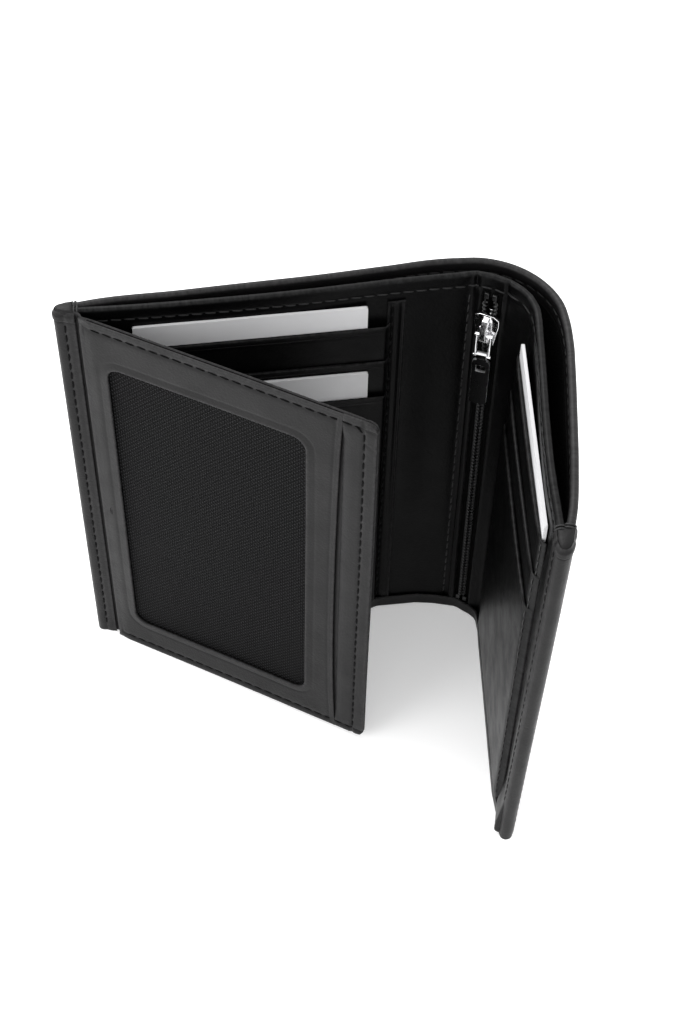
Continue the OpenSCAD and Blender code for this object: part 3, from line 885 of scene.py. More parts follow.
def make_seam_strip():
    """The raised strip that covers the right edges of the back leaf's pockets."""
    z0, z1 = band_box[0].z, HEIGHT - LINER_TURN - 0.3 * MM
    left, right = u_band[0] + 1.1 * MM, u_band[1] - 0.9 * MM
    us = stations(u_band[0], u_band[1], 0.8 * MM, [(left, 0.5 * MM), (right, 0.5 * MM)], 0.4 * MM)
    zs = stations(z0, z1, 3 * MM, [], 0.4 * MM)

    def face(u, z):
        seams = bump(u - left, 0.45 * MM) + bump(u - right, 0.45 * MM)
        return liner_front(u, z) + 0.85 * MM - 0.2 * MM * seams + ripple(u, z, 0.05 * MM, 2.0)

    panel = Panel(liner_wall, us, zs, lambda u, z: liner_front(u, z) + 0.05 * MM, face, 0.4 * MM)
    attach(dress(panel.build("pocket_seam_band"), INNER, "inner_leather", "pocket_seam_strip"),
            "back")
    thread = Thread()
    thread.sew(panel, upright(left, z0 + 1 * MM, z1 - 1 * MM), 1)
    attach(dress(thread.build("pocket_seam_band_thread"), SHADED_SEAM, "inner_leather"), "back")


# ---------------------------------------------------------------- hem along the bottom

def straight_runs(path, ease=1.2 * MM):
    """Extra points beside each corner, so that a smooth curve keeps the runs between straight."""
    points = [path[0]]
    for a, b in zip(path, path[1:]):
        length = np.linalg.norm(b - a)
        near = min(ease, length / 3) * (b - a) / max(length, 1e-9)
        if length > 0.6 * MM:
            points += [a + near, b - near]
        points.append(b)
    return np.array(points)


def make_hem():
    """The outer leather is turned up inside along the bottom: floor and strip in one loft."""
    nodes = ("hem_back", "hem_spine", "hem_front")
    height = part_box("hem_back")[1].z
    path = straight_runs(joined(nodes, 1, True))
    wall = Wall(path, path)
    u_mid = wall.near(spine_mid, 0)
    shell_low = shell_wall.plan(np.linspace(0, shell_wall.length, 1500), np.zeros(1500))
    thick = 0.6 * MM
    for name, start, end, over, replaced, sides in (
            ("bottom_hem_back", 0, u_mid, over_left, ("hem_back", "hem_spine"), "s"),
            ("bottom_hem_cover", u_mid, wall.length, over_right, ("hem_front",), "e")):
        reach = 1.3 * MM if sides == "e" else 0.0
        us = stations(start, end + reach, 1.2 * MM, [], 0.4 * MM, sides)
        inner = wall.point(us, np.zeros(len(us)), np.zeros(len(us)))
        gaps = np.linalg.norm(shell_low[None] - inner[:, None, :2], axis=2)
        nearest = np.maximum.accumulate(np.argmin(gaps, axis=1))
        across = shell_low[nearest] - inner[:, :2]
        width = np.linalg.norm(across, axis=1) - SHELL_T - 0.1 * MM
        across = unit(across)
        wave = ripple(us, np.zeros(len(us)), 0.18 * MM, 1.3)
        # The profile goes from the shell's foot, under, round the corner and up the strip
        profile = [(1.0, 0.0, 0.0), (0.5, 0.0, 0.0)]
        bend = 0.8 * MM
        profile += [(0.0, bend * (1 - math.sin(a)), bend * (1 - math.cos(a)))
                    for a in np.radians([0, 22, 45, 68, 90])]
        profile += [(0.0, 0.0, z) for z in (1.3 * MM, 2.0 * MM, 2.4 * MM, height - 0.55 * MM)]
        profile += [(0.0, 0.48 * thick * (1 - math.cos(a)), height - 0.3 * MM * (1 - math.sin(a)))
                    for a in np.radians([0, 40, 80])]
        back = [(0.0, thick, height - 0.2 * MM), (0.0, thick, 2.0 * MM), (0.0, thick, 1.0 * MM),
                (0.0, bend + 0.1 * MM, thick), (0.5, 0.0, thick), (1.0, 0.0, thick)]
        rows = []
        for share, inset, z in profile + back:
            run = share * width + (1 - share) * inset
            lean = wave * min(1.0, z / (2 * MM))
            rows.append(np.concatenate([inner[:, :2] + across * (run + lean)[:, None],
                                        np.full((len(us), 1), z)], 1))
        grid = np.stack(rows, 0)
        n, m = grid.shape[:2]
        faces = grid_faces(n, m, 0, closed=True)
        faces += [[i * m for i in range(n)], [i * m + m - 1 for i in range(n)][::-1]]
        place = np.stack([np.broadcast_to(us, (n, m)),
                          np.broadcast_to(np.arange(n)[:, None] * 0.7 * MM, (n, m)),
                          np.zeros((n, m))], -1)
        edge = np.broadcast_to(np.abs(height - grid[..., 2]), (n, m))
        piece = keep_mesh(name, grid, faces, place, np.ascontiguousarray(edge))
        over(dress(piece, SHELL, "shell_leather", *replaced))


# ---------------------------------------------------------------- bindings at the two ends

SLIM = 0.42 * MM             # how far the binding's leather is pressed in by its seam
BINDING_SEAM = 2.6 * MM      # from the binding's edge to its seam


def make_binding(name, node, body):
    """Leather wrapped round an end: a C in plan, folded over at its top."""
    low, high = (max(two_faces(node, top), key=lambda f: np.ptp(f, axis=0).sum())
                 for top in (False, True))
    centre = low.mean(0)
    wall = Wall(low, high)
    mid = wall.plan(np.array([wall.length / 2]), np.array([0.0]))[0]
    # Depth is positive to the right of travel, which may be out of the C or into it
    step = wall.point(np.array([wall.length / 2]), np.array([0.0]), np.array([0.5 * MM]))[0, :2]
    inward = 1 if np.linalg.norm(step - centre) < np.linalg.norm(mid - centre) else -1
    thick = 0.85 * MM
    fold_z = HEIGHT - 2.9 * MM

    def outer(u, z):
        cap = step_up(z - fold_z, 0.3 * MM) * 0.22 * MM
        groove = bump(z - fold_z, 0.25 * MM) * 0.12 * MM
        draw = step_up(z - (HEIGHT - 1.4 * MM), 1.4 * MM) * 0.55 * MM
        wing = sum(bump(away - BINDING_SEAM, 0.6 * MM) for away in (u, wall.length - u))
        return ((SLIM - cap + groove + draw + PINCH * wing) * inward
                + ripple(u * 3, z, 0.09 * MM, 0.9))

    seams = (BINDING_SEAM, wall.length - BINDING_SEAM)
    us = stations(0, wall.length, 0.55 * MM, [(u, 0.6 * MM) for u in seams], 0.35 * MM)
    zs = stations(0, HEIGHT, 4 * MM, [(fold_z, 0.4 * MM), (HEIGHT - 1 * MM, 0.6 * MM)], 0.35 * MM)
    faces = (outer, thick) if inward > 0 else (-thick, outer)
    panel = Panel(wall, us, zs, *faces, 0.35 * MM)
    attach(dress(panel.build(name), SHELL, "shell_leather", node), body)
    # The fold that closes the C at its top
    ring = wall.point(us, np.full(len(us), HEIGHT), np.full(len(us), thick * 0.8 * inward))[:, :2]
    core = ring.mean(0)
    levels = [(1.0, -6), (1.0, -0.7), (0.94, -0.2), (0.8, 0.12), (0.5, 0.3), (0.02, 0.34)]
    grid = np.stack([np.concatenate([core + (ring - core) * s,
                                     np.full((len(ring), 1), HEIGHT + z * MM)], 1)
                     for s, z in levels], 1)
    nu, nv = grid.shape[:2]
    shape = grid_faces(nu, nv, 0, closed=True)
    shape += [[i * nv for i in range(nu)][::-1], [i * nv + nv - 1 for i in range(nu)]]
    fill = keep_mesh(name + "_top_fold", grid, shape, edge=np.full(nu * nv, 0.9 * MM), sharp=50)
    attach(dress(fill, SHELL, "shell_leather"), body)
    thread = Thread()
    side = -1 if inward > 0 else 1
    for u in seams:
        thread.sew(panel, upright(u, 3 * MM, HEIGHT - 3.6 * MM), side)
    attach(dress(thread.build(name + "_thread"), SHADED_SEAM, "shell_leather"), body)


def loop_over(wall, u, outer, inner, drop):
    """A stitch that wraps over a top edge at u, from one face to the other."""
    middle, half = (outer + inner) / 2, (inner - outer) / 2 + 0.14 * MM
    turn = np.linspace(0, math.pi, 9)
    depth = np.concatenate([[outer - 0.1 * MM], middle - half * np.cos(turn),
                            [inner + 0.1 * MM]])
    z = HEIGHT - 0.55 * MM + 0.7 * MM * np.sin(turn)
    z = np.concatenate([[HEIGHT - drop], z, [HEIGHT - drop]])
    return wall.point(u + 0.25 * MM * (z - HEIGHT) / drop, z, depth)


def make_corner_stitches():
    """Extra stitches over the top edges where the seams begin and end beside the bindings."""
    kinds = (("shell", shell_wall, 3.4 * MM, -0.1 * MM, SHELL_EDGE, 0.24 * MM, "shell_leather"),
             ("liner", liner_wall, 3.0 * MM, -LINER_EDGE, 0.2 * MM, 0.22 * MM, "inner_leather"))
    for side, end, sign, body in (("left", 0.0, 1, "back"), ("right", 1.0, -1, "cover")):
        for k in (0, 1):
            for kind, wall, first, outer, inner, radius, slot in kinds:
                u = wall.length * end + sign * (first + 0.7 * MM * k)
                path = loop_over(wall, u, outer, inner, 1.3 * MM)
                piece = tube("corner_stitch_%s_%s_%d" % (kind, side, k + 1), path, radius)
                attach(dress(piece, SEAM, slot), body)


# ---------------------------------------------------------------- card pockets

SIDE_OVER = 0.9 * MM         # how far a pocket's sides reach past it where they are sewn down


def pocket_wall(nodes):
    """The flat wall that a set of pocket panels lies on, and each panel's span on it."""
    points = cad_points(nodes[0])[:, :2]
    centre = points.mean(0)
    along = np.linalg.svd(points - centre)[2][0]
    if along[0] - along[1] < 0:
        along = -along
    inward = np.array([along[1], -along[0]])
    origin = centre - along * (centre @ along) + along * (points @ along).min()
    origin = origin + inward * ((points @ inward).min() - origin @ inward)
    spans = []
    for node in nodes:
        p = cad_points(node)
        run, deep = (p[:, :2] - origin) @ along, (p[:, :2] - origin) @ inward
        spans.append((run.min(), run.max(), p[:, 2].min(), p[:, 2].max(), deep.min(), deep.max()))
    return Flat((*origin, 0), (*along, 0)), spans


def make_pockets(nodes, body, gape, side_in):
    """Pocket panels with turned lips that gape in the middle and close at their sewn sides."""
    wall, spans = pocket_wall(nodes)
    panel_t = 0.45 * MM
    for k, (node, (u0, u1, z0, z1, d0, d1)) in enumerate(zip(nodes, spans)):
        def gap(u, z):
            share = np.clip((u - u0) / (u1 - u0), 0, 1)
            rise = np.clip(1 - (z1 - z) / (30 * MM), 0, 1) ** 2
            return gape * (4 * share * (1 - share)) ** 0.6 * rise

        def sewn_down(u, depth, lowest):
            away = np.minimum(u - u0, u1 - u) + SIDE_OVER
            return lowest + (depth - lowest) * step_up(away, 1.3 * MM)

        seam_u = u0 + 1.2 * MM if side_in == "left" else u1 - 0.3 * MM
        seam_z = z0 + 1.5 * MM if k == len(nodes) - 1 else -FAR

        def front(u, z):
            lip = step_up(z - (z1 - 1.9 * MM), 0.5 * MM) * 0.28 * MM
            crease = bump(z - (z1 - 2.3 * MM), 0.3 * MM) * 0.14 * MM
            taper = step_up(np.minimum(u - u0, u1 - u), 7 * MM)
            depth = d1 + (lip - crease) * taper + gap(u, z) + ripple(u, z, 0.07 * MM, k + 1.0)
            depth = depth - 0.3 * MM * (bump(u - seam_u, 0.6 * MM) + bump(z - seam_z, 0.6 * MM))
            return sewn_down(u, depth, (0.4 + 0.18 * k) * MM)

        def back(u, z):
            taper = step_up(np.minimum(u - u0, u1 - u), 7 * MM)
            turned = step_up(z - (z1 - 6 * MM), 1 * MM) * 0.2 * MM * taper
            depth = d1 - panel_t - turned + gap(u, z) + ripple(u, z, 0.07 * MM, k + 1.0)
            return sewn_down(u, depth, (0.18 * k - 0.3) * MM)

        us = stations(u0 - SIDE_OVER, u1 + SIDE_OVER, 1.6 * MM,
                      [(u0 - 0.2 * MM, 0.4 * MM), (u1 + 0.2 * MM, 0.4 * MM),
                       (seam_u, 0.6 * MM)], 0.25 * MM)
        zs = stations(z0, z1, 3 * MM, [(z1 - 2.3 * MM, 0.35 * MM), (z1 - 1.8 * MM, 0.3 * MM)],
                      0.4 * MM)
        panel = Panel(wall, us, zs, back, front, 0.4 * MM)
        piece = dress(panel.build(node + "_leather"), INNER, "inner_leather", node)
        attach(piece, body)
        thread = Thread()
        if k == len(nodes) - 1:
            thread.sew(panel, level(u0 + 2 * MM, u1 - 2 * MM, seam_z), 1)
        thread.sew(panel, upright(seam_u, z0 + 1 * MM, z1 - 1 * MM), 1)
        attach(dress(thread.build(node + "_thread"), SEAM, "inner_leather"), body)


# ---------------------------------------------------------------- window flap

hinge = np.array(joints["flap_open"]["pos_m"])
knuckle = np.array(joints["flap_close"]["pos_m"])
flap_along = unit((knuckle - hinge) * (1, 1, 0))
FLAP_LEN = ((cad_points("flap_back") - hinge) @ flap_along).max()
frame_points = cad_points("flap_frame")
frame_s, frame_z = (frame_points - hinge) @ flap_along, frame_points[:, 2]
hole = ((frame_s > frame_s.min() + MM) & (frame_s < frame_s.max() - MM)
        & (frame_z > MM) & (frame_z < HEIGHT - MM))
WINDOW = (frame_s[hole].min(), frame_s[hole].max(), frame_z[hole].min(), frame_z[hole].max())
SLOT_S = (frame_s.max(), ((cad_points("flap_free_edge") - hinge) @ flap_along).min())
STRIP_MID = np.linalg.norm((knuckle - hinge)[:2]) / 2
FLAP_HALF = 0.75 * MM
ROOT_S = -0.4 * MM           # where the flap's leather comes out of the furrow at its root
FRAME_BACK = 0.15 * MM
WINDOW_R = 3.5 * MM
FLAP_CORNER = 2.5 * MM
TOP_INSET, SIDE_INSET, FOOT_INSET = 2.3 * MM, 3.2 * MM, 2.3 * MM


def flap_bow(s, z):
    """The flap is not quite flat: its middle gives way a little and its edge sways."""
    share = np.clip(s / FLAP_LEN, 0, 1)
    return (-0.2 * MM * np.sin(math.pi * share)
            + 0.2 * MM * np.sin(2 * math.pi * z / HEIGHT + 0.6) * share
            + ripple(s, z, 0.08 * MM, 3.1) * share)


# The flap's free corner is lifted a little off the floor
flap_wall = Flat((hinge[0], hinge[1], 0), flap_along, bow=flap_bow, rise=1.5 * MM / FLAP_LEN)


def flap_seam_distance(s, z):
    """How far a place on the flap is from its perimeter seam."""
    return np.minimum.reduce([np.abs(HEIGHT - TOP_INSET - z), np.abs(z - FOOT_INSET),
                              np.abs(FLAP_LEN - SIDE_INSET - s)])


def over_flap(piece):
    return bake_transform(piece)


def window_distance(s, z):
    """Distance outwards from the window's rounded outline."""
    cs, cz = (WINDOW[0] + WINDOW[1]) / 2, (WINDOW[2] + WINDOW[3]) / 2
    a = np.abs(s - cs) - ((WINDOW[1] - WINDOW[0]) / 2 - WINDOW_R)
    b = np.abs(z - cz) - ((WINDOW[3] - WINDOW[2]) / 2 - WINDOW_R)
    return (np.hypot(np.maximum(a, 0), np.maximum(b, 0)) + np.minimum(np.maximum(a, b), 0)
            - WINDOW_R)


def slot_edge(z):
    """The frame's right edge: it draws back from the free edge in the middle of the slot."""
    share = np.clip((z - FOOT_INSET) / (HEIGHT - TOP_INSET - FOOT_INSET - 2 * MM), 0, 1)
    return SLOT_S[0] + 0.35 * MM - 1.25 * MM * np.sin(math.pi * share) ** 0.6


def flap_front(s, z):
    near_window = window_distance(s, z)
    seam = bump(np.minimum(np.abs(HEIGHT - TOP_INSET - z), np.abs(z - FOOT_INSET)), 0.5 * MM)
    emboss = bump(near_window - 2.3 * MM, 0.32 * MM) * 0.08 * MM
    lip = step_up(2.0 * MM - near_window, 1.6 * MM) * 0.16 * MM
    crease = bump(slot_edge(z) - s - 1.5 * MM, 0.3 * MM) * 0.12 * MM
    root = (1 - step_up(s - ROOT_S, 3.6 * MM)) * 0.42 * MM
    return FLAP_HALF - PINCH * seam - emboss + lip - crease - root


def flap_frame_edge(s, z):
    slot = np.where((z > FOOT_INSET + 0.6 * MM) & (z < HEIGHT - TOP_INSET - 0.8 * MM),
                    slot_edge(z) - s, np.maximum(slot_edge(z) - s, 0.1 * MM))
    return np.minimum.reduce([HEIGHT - z, z, slot, s - ROOT_S,
                              np.maximum(window_distance(s, z), 0)])


def ring_grid(s0, s1, z0, z1, count=48):
    """Matching points round a rectangle and round the window inside it, corner to corner."""
    cs = [(WINDOW[0], WINDOW[2]), (WINDOW[1], WINDOW[2]), (WINDOW[1], WINDOW[3]),
          (WINDOW[0], WINDOW[3])]
    outer_corners = [(s0, z0), (s1, z0), (s1, z1), (s0, z1)]
    turns = [math.pi * 1.25, math.pi * 1.75, math.pi * 0.25, math.pi * 0.75]
    inner, outer = [], []
    for k in range(4):
        a, b = outer_corners[k], outer_corners[(k + 1) % 4]
        (px, pz), (qx, qz) = cs[k], cs[(k + 1) % 4]
        pc = (px + (WINDOW_R if px == WINDOW[0] else -WINDOW_R),
              pz + (WINDOW_R if pz == WINDOW[2] else -WINDOW_R))
        qc = (qx + (WINDOW_R if qx == WINDOW[0] else -WINDOW_R),
              qz + (WINDOW_R if qz == WINDOW[2] else -WINDOW_R))
        start, side = turns[k], turns[k] + math.pi / 4
        arc_steps = 5
        first = [(pc[0] + WINDOW_R * math.cos(t), pc[1] + WINDOW_R * math.sin(t))
                 for t in np.linspace(start, side, arc_steps + 1)]
        last = [(qc[0] + WINDOW_R * math.cos(t), qc[1] + WINDOW_R * math.sin(t))
                for t in np.linspace(side, side + math.pi / 4, arc_steps + 1)]
        n = count - 2 * arc_steps
        middle = [tuple(np.array(first[-1]) + (np.array(last[0]) - first[-1]) * i / n)
                  for i in range(1, n)]
        line = first + middle + last[:-1]
        inner += line
        share = np.linspace(0, 1, len(line) + 1)[:-1]
        # Outer points stay opposite the inner ones, and reach the corners
        long_side = k % 2 == 1
        run = [(p[1] if long_side else p[0]) for p in line]
        lo, hi = (cs[k][1], cs[(k + 1) % 4][1]) if long_side else (cs[k][0], cs[(k + 1) % 4][0])
        base = np.clip((np.array(run) - lo) / (hi - lo), 0, 1)
        mix = 0.5 * base + 0.5 * share
        mix[0] = 0
        outer += [(a[0] + (b[0] - a[0]) * t, a[1] + (b[1] - a[1]) * t) for t in mix]
    return np.array(outer), np.array(inner)


def make_flap_frame():
    outer, inner = ring_grid(ROOT_S, SLOT_S[0], 0, HEIGHT)
    rim = 0.3 * MM
    rows = [0, 0.05, 0.15, 0.3, 0.5, 0.8, 1.2, 1.55, 1.8, 2.05, 2.3, 2.55, 2.8, 3.1, 3.6, 4.2]
    ends = [0, 0.05, 0.15, 0.3, 0.6, 1.0, 1.4, 1.8, 2.0, 2.3, 2.6, 3.0, 3.6]
    width = np.linalg.norm(outer - inner, axis=1) / MM
    steps = []
    for w in width:
        middle = np.linspace(4.2, w - 3.6, 7)[1:-1]
        steps.append(np.concatenate([rows, middle, w - np.array(ends)[::-1]]) / w)
    share = np.array(steps)
    points = inner[:, None] + (outer - inner)[:, None] * share[..., None]
    s, z = points[..., 0], points[..., 1]
    s = np.where(s > SLOT_S[0] - 3 * MM, s + (slot_edge(z) - SLOT_S[0])
                 * np.clip((s - SLOT_S[0] + 3 * MM) / (3 * MM), 0, 1), s)
    edge = flap_frame_edge(s, z)
    front = flap_front(s, z)
    back = np.full(s.shape, FRAME_BACK)
    middle, half = (front + back) / 2, (front - back) / 2
    t = np.clip(edge / rim, 0, 1)
    half = half * np.sqrt(1 - (1 - t) ** 2)
    place = np.stack([s, z, 0 * s], -1)
    piece = solid("flap_frame_leather", flap_wall.point(s, z, middle - half),
                  flap_wall.point(s, z, middle + half), place, edge, closed=True)
    over_flap(dress(piece, SHELL, "shell_leather", "flap_frame"))


def free_edge_front(s, z):
    seam = bump(flap_seam_distance(s, z), 0.5 * MM)
    dip = (1 - step_up(s - (SLOT_S[1] - 1.4 * MM), 3.0 * MM)) * 0.78 * MM
    close = step_up(HEIGHT - TOP_INSET - 1 * MM - z, 5 * MM) * step_up(z - FOOT_INSET, 5 * MM)
    mitre = bump((s - FLAP_LEN + 3.2 * MM) * 0.45 + (z - HEIGHT + 6.6 * MM) * 0.9, 0.3 * MM)
    mitre = mitre * step_up(s - (FLAP_LEN - 3.4 * MM), 0.4 * MM)
    fold = bump((s - SLOT_S[1] - 1 * MM) * 0.93 + (z - 35 * MM) * 0.37, 1.0 * MM)
    fold = fold * (1 - step_up(np.abs(z - 30 * MM), 9 * MM))
    return FLAP_HALF - PINCH * seam - dip * close - 0.12 * MM * mitre - 0.1 * MM * fold


def make_flap_free_edge():
    start = SLOT_S[0] + 0.2 * MM
    us = stations(start, FLAP_LEN, 1.1 * MM, [(FLAP_LEN - SIDE_INSET, 0.5 * MM)], 0.45 * MM)
    zs = stations(0, HEIGHT, 2.4 * MM, [(HEIGHT - TOP_INSET, 0.5 * MM), (FOOT_INSET, 0.5 * MM),
                                        (HEIGHT - 7 * MM, 1.2 * MM)], 0.35 * MM)

    def back(u, z):
        return np.minimum(-0.13 * MM, free_edge_front(u, z) - 0.1 * MM)

    def edge(u, z):
        return np.minimum.reduce([u - start, FLAP_LEN - u, HEIGHT - z, z])

    panel = Panel(flap_wall, us, zs, back, free_edge_front, 0.45 * MM, "rtb", FLAP_CORNER, edge)
    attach(dress(panel.build("flap_free_edge_leather"), SHELL, "shell_leather",
                  "flap_free_edge"), "flap")


def make_flap_back():
    us = stations(ROOT_S, FLAP_LEN, 1.6 * MM, [(FLAP_LEN - SIDE_INSET, 0.5 * MM)], 0.35 * MM)
    zs = stations(0, HEIGHT, 3 * MM, [(HEIGHT - TOP_INSET, 0.5 * MM), (FOOT_INSET, 0.5 * MM)],
                  0.35 * MM)

    def back(u, z):
        root = (1 - step_up(u - ROOT_S, 3.6 * MM)) * 0.3 * MM
        return -FLAP_HALF + PINCH * bump(flap_seam_distance(u, z), 0.5 * MM) + root

    panel = Panel(flap_wall, us, zs, back, -FRAME_BACK, 0.32 * MM, "rtb", FLAP_CORNER,
                  lambda u, z: np.minimum.reduce([u - ROOT_S, FLAP_LEN - u, HEIGHT - z, z]))
    over_flap(dress(panel.build("flap_back_leather"), SHELL, "shell_leather", "flap_back"))


def flap_perimeter():
    """The seam round the flap, in s and z, with rounded outer corners."""
    r = 2.4 * MM
    top, foot, side = HEIGHT - TOP_INSET, FOOT_INSET, FLAP_LEN - SIDE_INSET
    line = list(level(2.5 * MM, side - r, top))
    line += [(side - r + r * math.sin(a), top - r + r * math.cos(a))
             for a in np.radians(range(10, 90, 10))]
    line += list(upright(side, foot + 0.5 * MM, top - r)[::-1])
    line += list(level(2.5 * MM, side - 0.5 * MM, foot)[::-1])
    return np.array(line)


class FlapFace:
    """Follows the flap's front, frame and free edge alike, for its seams."""

    def at(self, u, z, side, lift=0.0):
        if side < 0:
            depth = -FLAP_HALF + PINCH * bump(flap_seam_distance(u, z), 0.5 * MM) - lift
        else:
            depth = np.where(u < SLOT_S[0] + 0.3 * MM, flap_front(u, z), free_edge_front(u, z))
            depth = depth + lift
        return flap_wall.point(u, z, depth)


def make_flap_thread():
    for name, side in (("flap_front_thread", 1), ("flap_back_thread", -1)):
        thread = Thread()
        thread.sew(FlapFace(), flap_perimeter(), side)
        over_flap(dress(thread.build(name), SHADED_SEAM, "shell_leather"))


def make_flap_root():
    """The soft leather hinge: it comes out from under the end binding, leaving a deep furrow,
    and turns into the flap."""
    toward = np.cross(flap_along, (0, 0, 1))
    turns = ((-2.75, -0.38), (-1.95, -0.9), (-1.05, -1.0), (-0.35, -0.62), (0.35, -0.1),
             (1.0, 0.0), (STRIP_MID / MM, 0.0))
    path = [(hinge + flap_along * s * MM + toward * d * MM)[:2] for s, d in turns]
    wall = Wall(path, path)

    half = 0.26 * MM
    us = stations(0, wall.length, 0.4 * MM, [], 0, "")
    zs = stations(0, HEIGHT, 4 * MM, [(HEIGHT - TOP_INSET, 0.5 * MM)], 0.4 * MM)
    panel = Panel(wall, us, zs, -half, half, 0.26 * MM, "tb")
    piece = dress(panel.build("flap_root_leather"), SHELL, "shell_leather", "flap_hinge_strip")
    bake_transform(piece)


def make_window_mesh():
    low_s, high_s = WINDOW[0] - 1.6 * MM, SLOT_S[0] - 1 * MM
    us = stations(low_s, high_s, 2 * MM, [], 0.06 * MM)
    zs = stations(5 * MM, HEIGHT - 4 * MM, 3 * MM, [], 0.06 * MM)
    panel = Panel(flap_wall, us, zs, -0.06 * MM, 0.06 * MM, 0.06 * MM)
    piece = dress(panel.build("window_mesh_sheet"), MESH, "window_mesh", "window_mesh")
    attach(piece, "flap")


# ---------------------------------------------------------------- zip

def zip_points(x, y, z):
    x, y, z = (np.asarray(a, float)[..., None] for a in np.broadcast_arrays(x, y, z))
    return zip_foot + zip_across * x + zip_behind * y + zip_up * z


slider_z = (cad_points("zip_slider") - zip_foot) @ zip_up


def coil_apart(z):
    """How far the middle of each row of teeth is from the zip's own middle."""
    opening = step_up(z - (slider_z.min() + slider_z.max()) / 2, 5 * MM)
    return (0.5 + 0.85 * opening) * MM


def make_zip():
    for name, node, points in (("zip_tape_left_cloth", "zip_tape_left", tape_left),
                               ("zip_tape_right_cloth", "zip_tape_right", tape_right)):
        x = (points - zip_foot) @ zip_across
        wall = Flat(zip_foot, zip_across, zip_up)
        us = stations(x.min(), x.max(), 0.5 * MM, [], 0.1 * MM)
        zs = stations(0, ZIP_LEN, 4 * MM, [], 0.1 * MM)
        panel = Panel(wall, us, zs, -TAPE_T, 0.0, 0.2 * MM)
        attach(dress(panel.build(name), TAPE, "zip_tape", node), "spine")
    turns = int((ZIP_LEN - 4 * MM) / COIL_PITCH)
    phase = np.linspace(0, turns * 2 * math.pi, turns * 12 + 1)
    for name, node, sign in (("zip_coil_left", "zip_teeth_left", -1),
                             ("zip_coil_right", "zip_teeth_right", 1)):
        shift = 0.0 if sign < 0 else 0.5
        # Flattened loops: the rows mesh below the slider and stand apart above it
        z = 2 * MM + COIL_PITCH * (phase / (2 * math.pi) + shift)
        x = sign * (coil_apart(z) - 0.46 * MM * np.cos(phase))
        y = -0.42 * MM - 0.26 * MM * np.sin(phase)
        piece = tube(name, zip_points(x, y, z), 0.2 * MM)
        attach(dress(piece, TEETH, "zip_teeth", node), "spine")
        z = np.linspace(2 * MM, ZIP_LEN - 2 * MM, 90)
        thread = tube(name + "_core", zip_points(sign * coil_apart(z), -0.4 * MM, z), 0.22 * MM)
        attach(dress(thread, SEAM, "zip_tape"), "spine")


# ---------------------------------------------------------------- CAD nodes that stay

def refine(node, material, width, segments=3, angle=30, rim=None):
    """Gives a CAD node its material and rounds its edges with a bevel."""
    piece = frame["nodes"][node]
    piece.data.materials.clear()
    piece.data.materials.append(material)
    if rim:
        piece.data.materials.append(rim)
    weld = piece.modifiers.new("weld", "WELD")
    weld.merge_threshold = 1e-6
    soft = piece.modifiers.new("edges", "BEVEL")
    soft.width, soft.segments = width, segments
    soft.limit_method, soft.angle_limit = "ANGLE", math.radians(angle)
    soft.material = 1 if rim else -1
    piece.data.shade_smooth()
    piece.modifiers.new("normals", "WEIGHTED_NORMAL")


def finish_cad():
    for card in ("card_1", "card_2", "card_3"):
        refine(card, CARD, 0.12 * MM, 2)
    for node, width in (("zip_slider", 0.16 * MM), ("pull_link", 0.1 * MM)):
        refine(node, METAL, width)
    refine("pull_tab", TAB_FACE, 0.24 * MM, rim=TAB_RIM)
    tab = frame["nodes"]["pull_tab"].data
    points = np.array([v.co for v in tab.vertices], float)
    facing = np.linalg.svd(points - points.mean(0), full_matrices=False)[2][2]
    for face in tab.polygons:
        face.material_index = 0 if abs(np.dot(face.normal, facing)) > 0.7 else 1
    for node in ("zip_stop_top", "zip_stop_bottom"):
        refine(node, STOPS, 0.15 * MM)


# ---------------------------------------------------------------- stage, light and camera

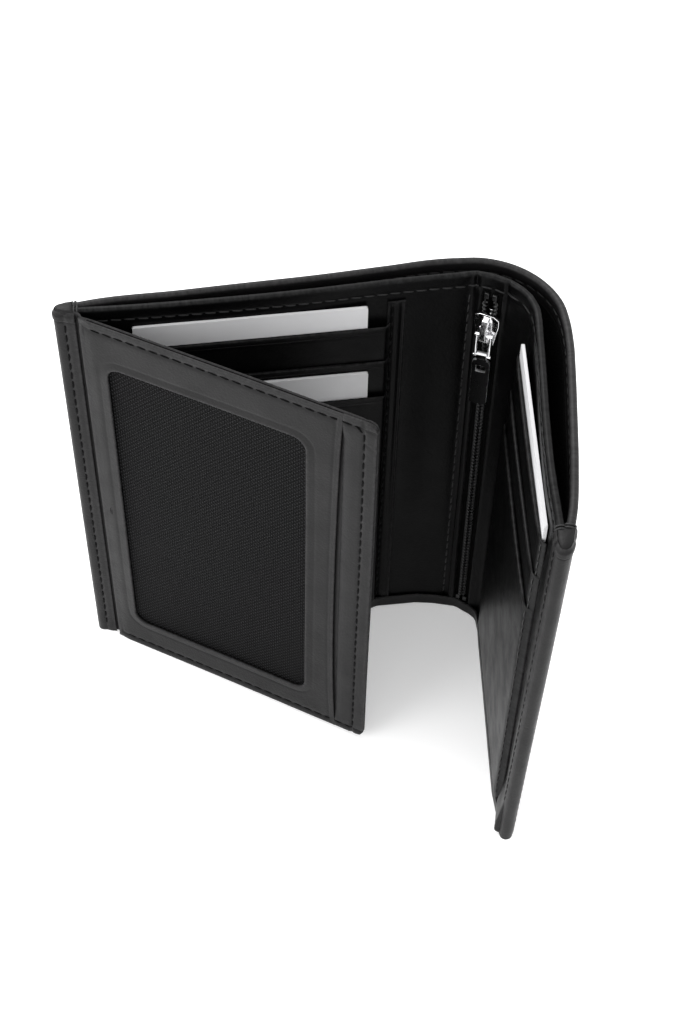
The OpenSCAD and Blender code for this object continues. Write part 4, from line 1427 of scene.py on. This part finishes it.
def make_stage():
    bpy.ops.mesh.primitive_plane_add(size=8)
    floor = bpy.context.object
    floor.name = "floor"
    floor.data.materials.append(floor_material())
    world = bpy.data.worlds.new("studio")
    bpy.context.scene.world = world
    world.use_nodes = True
    sky = world.node_tree.nodes["Background"]
    sky.inputs["Color"].default_value = (1.0, 1.0, 1.0, 1)
    sky.inputs["Strength"].default_value = 1.45
    for name, place, size, power in (("back_softbox", (-0.4, 1.1, 1.5), 1.1, 22),
                                     ("left_softbox", (-1.2, -0.5, 0.7), 0.9, 9)):
        data = bpy.data.lights.new(name, "AREA")
        data.shape, data.size, data.energy = "DISK", size, power
        lamp = bpy.data.objects.new(name, data)
        lamp.location = place
        lamp.rotation_euler = (Vector((0, 0, 0.06)) - Vector(place)).to_track_quat(
            "-Z", "Y").to_euler()
        bpy.context.scene.collection.objects.link(lamp)


def make_camera():
    """Looks down on the wallet from the front left."""
    data = bpy.data.cameras.new("camera")
    data.sensor_width, data.lens = 36, 61.9
    camera = bpy.data.objects.new("camera", data)
    bpy.context.scene.collection.objects.link(camera)
    heading = Vector((0.165, 0.986, 0)).normalized()
    tilt, roll = math.radians(50.2), 0.0283
    forward = heading * math.cos(tilt) - Vector((0, 0, math.sin(tilt)))
    right = Vector((heading.y, -heading.x, 0))
    up = right.cross(forward)
    right, up = (right * math.cos(roll) + up * math.sin(roll),
                 up * math.cos(roll) - right * math.sin(roll))
    turn = Matrix((right, up, -forward)).transposed().to_4x4()
    camera.matrix_world = Matrix.Translation((-0.03915, -0.25345, 0.3942)) @ turn
    data.clip_start, data.clip_end = 0.01, 20
    bpy.context.scene.camera = camera
    bpy.context.scene.view_settings.view_transform = "Standard"


make_camera()
make_stage()
make_shell()
make_linings()
make_liner()
make_divider()
make_seam_strip()
make_hem()
make_binding("end_binding_left", "edge_binding_left", "back")
make_binding("end_binding_right", "edge_binding_right", "cover")
make_corner_stitches()
make_pockets(("back_pocket_1", "back_pocket_2", "back_pocket_3"), "back", 0.12 * MM, "left")
make_pockets(("front_pocket_1", "front_pocket_2", "front_pocket_3"), "cover", 0.4 * MM, "right")
make_flap_root()
make_flap_back()
make_flap_frame()
make_flap_free_edge()
make_flap_thread()
make_window_mesh()
make_zip()
finish_cad()
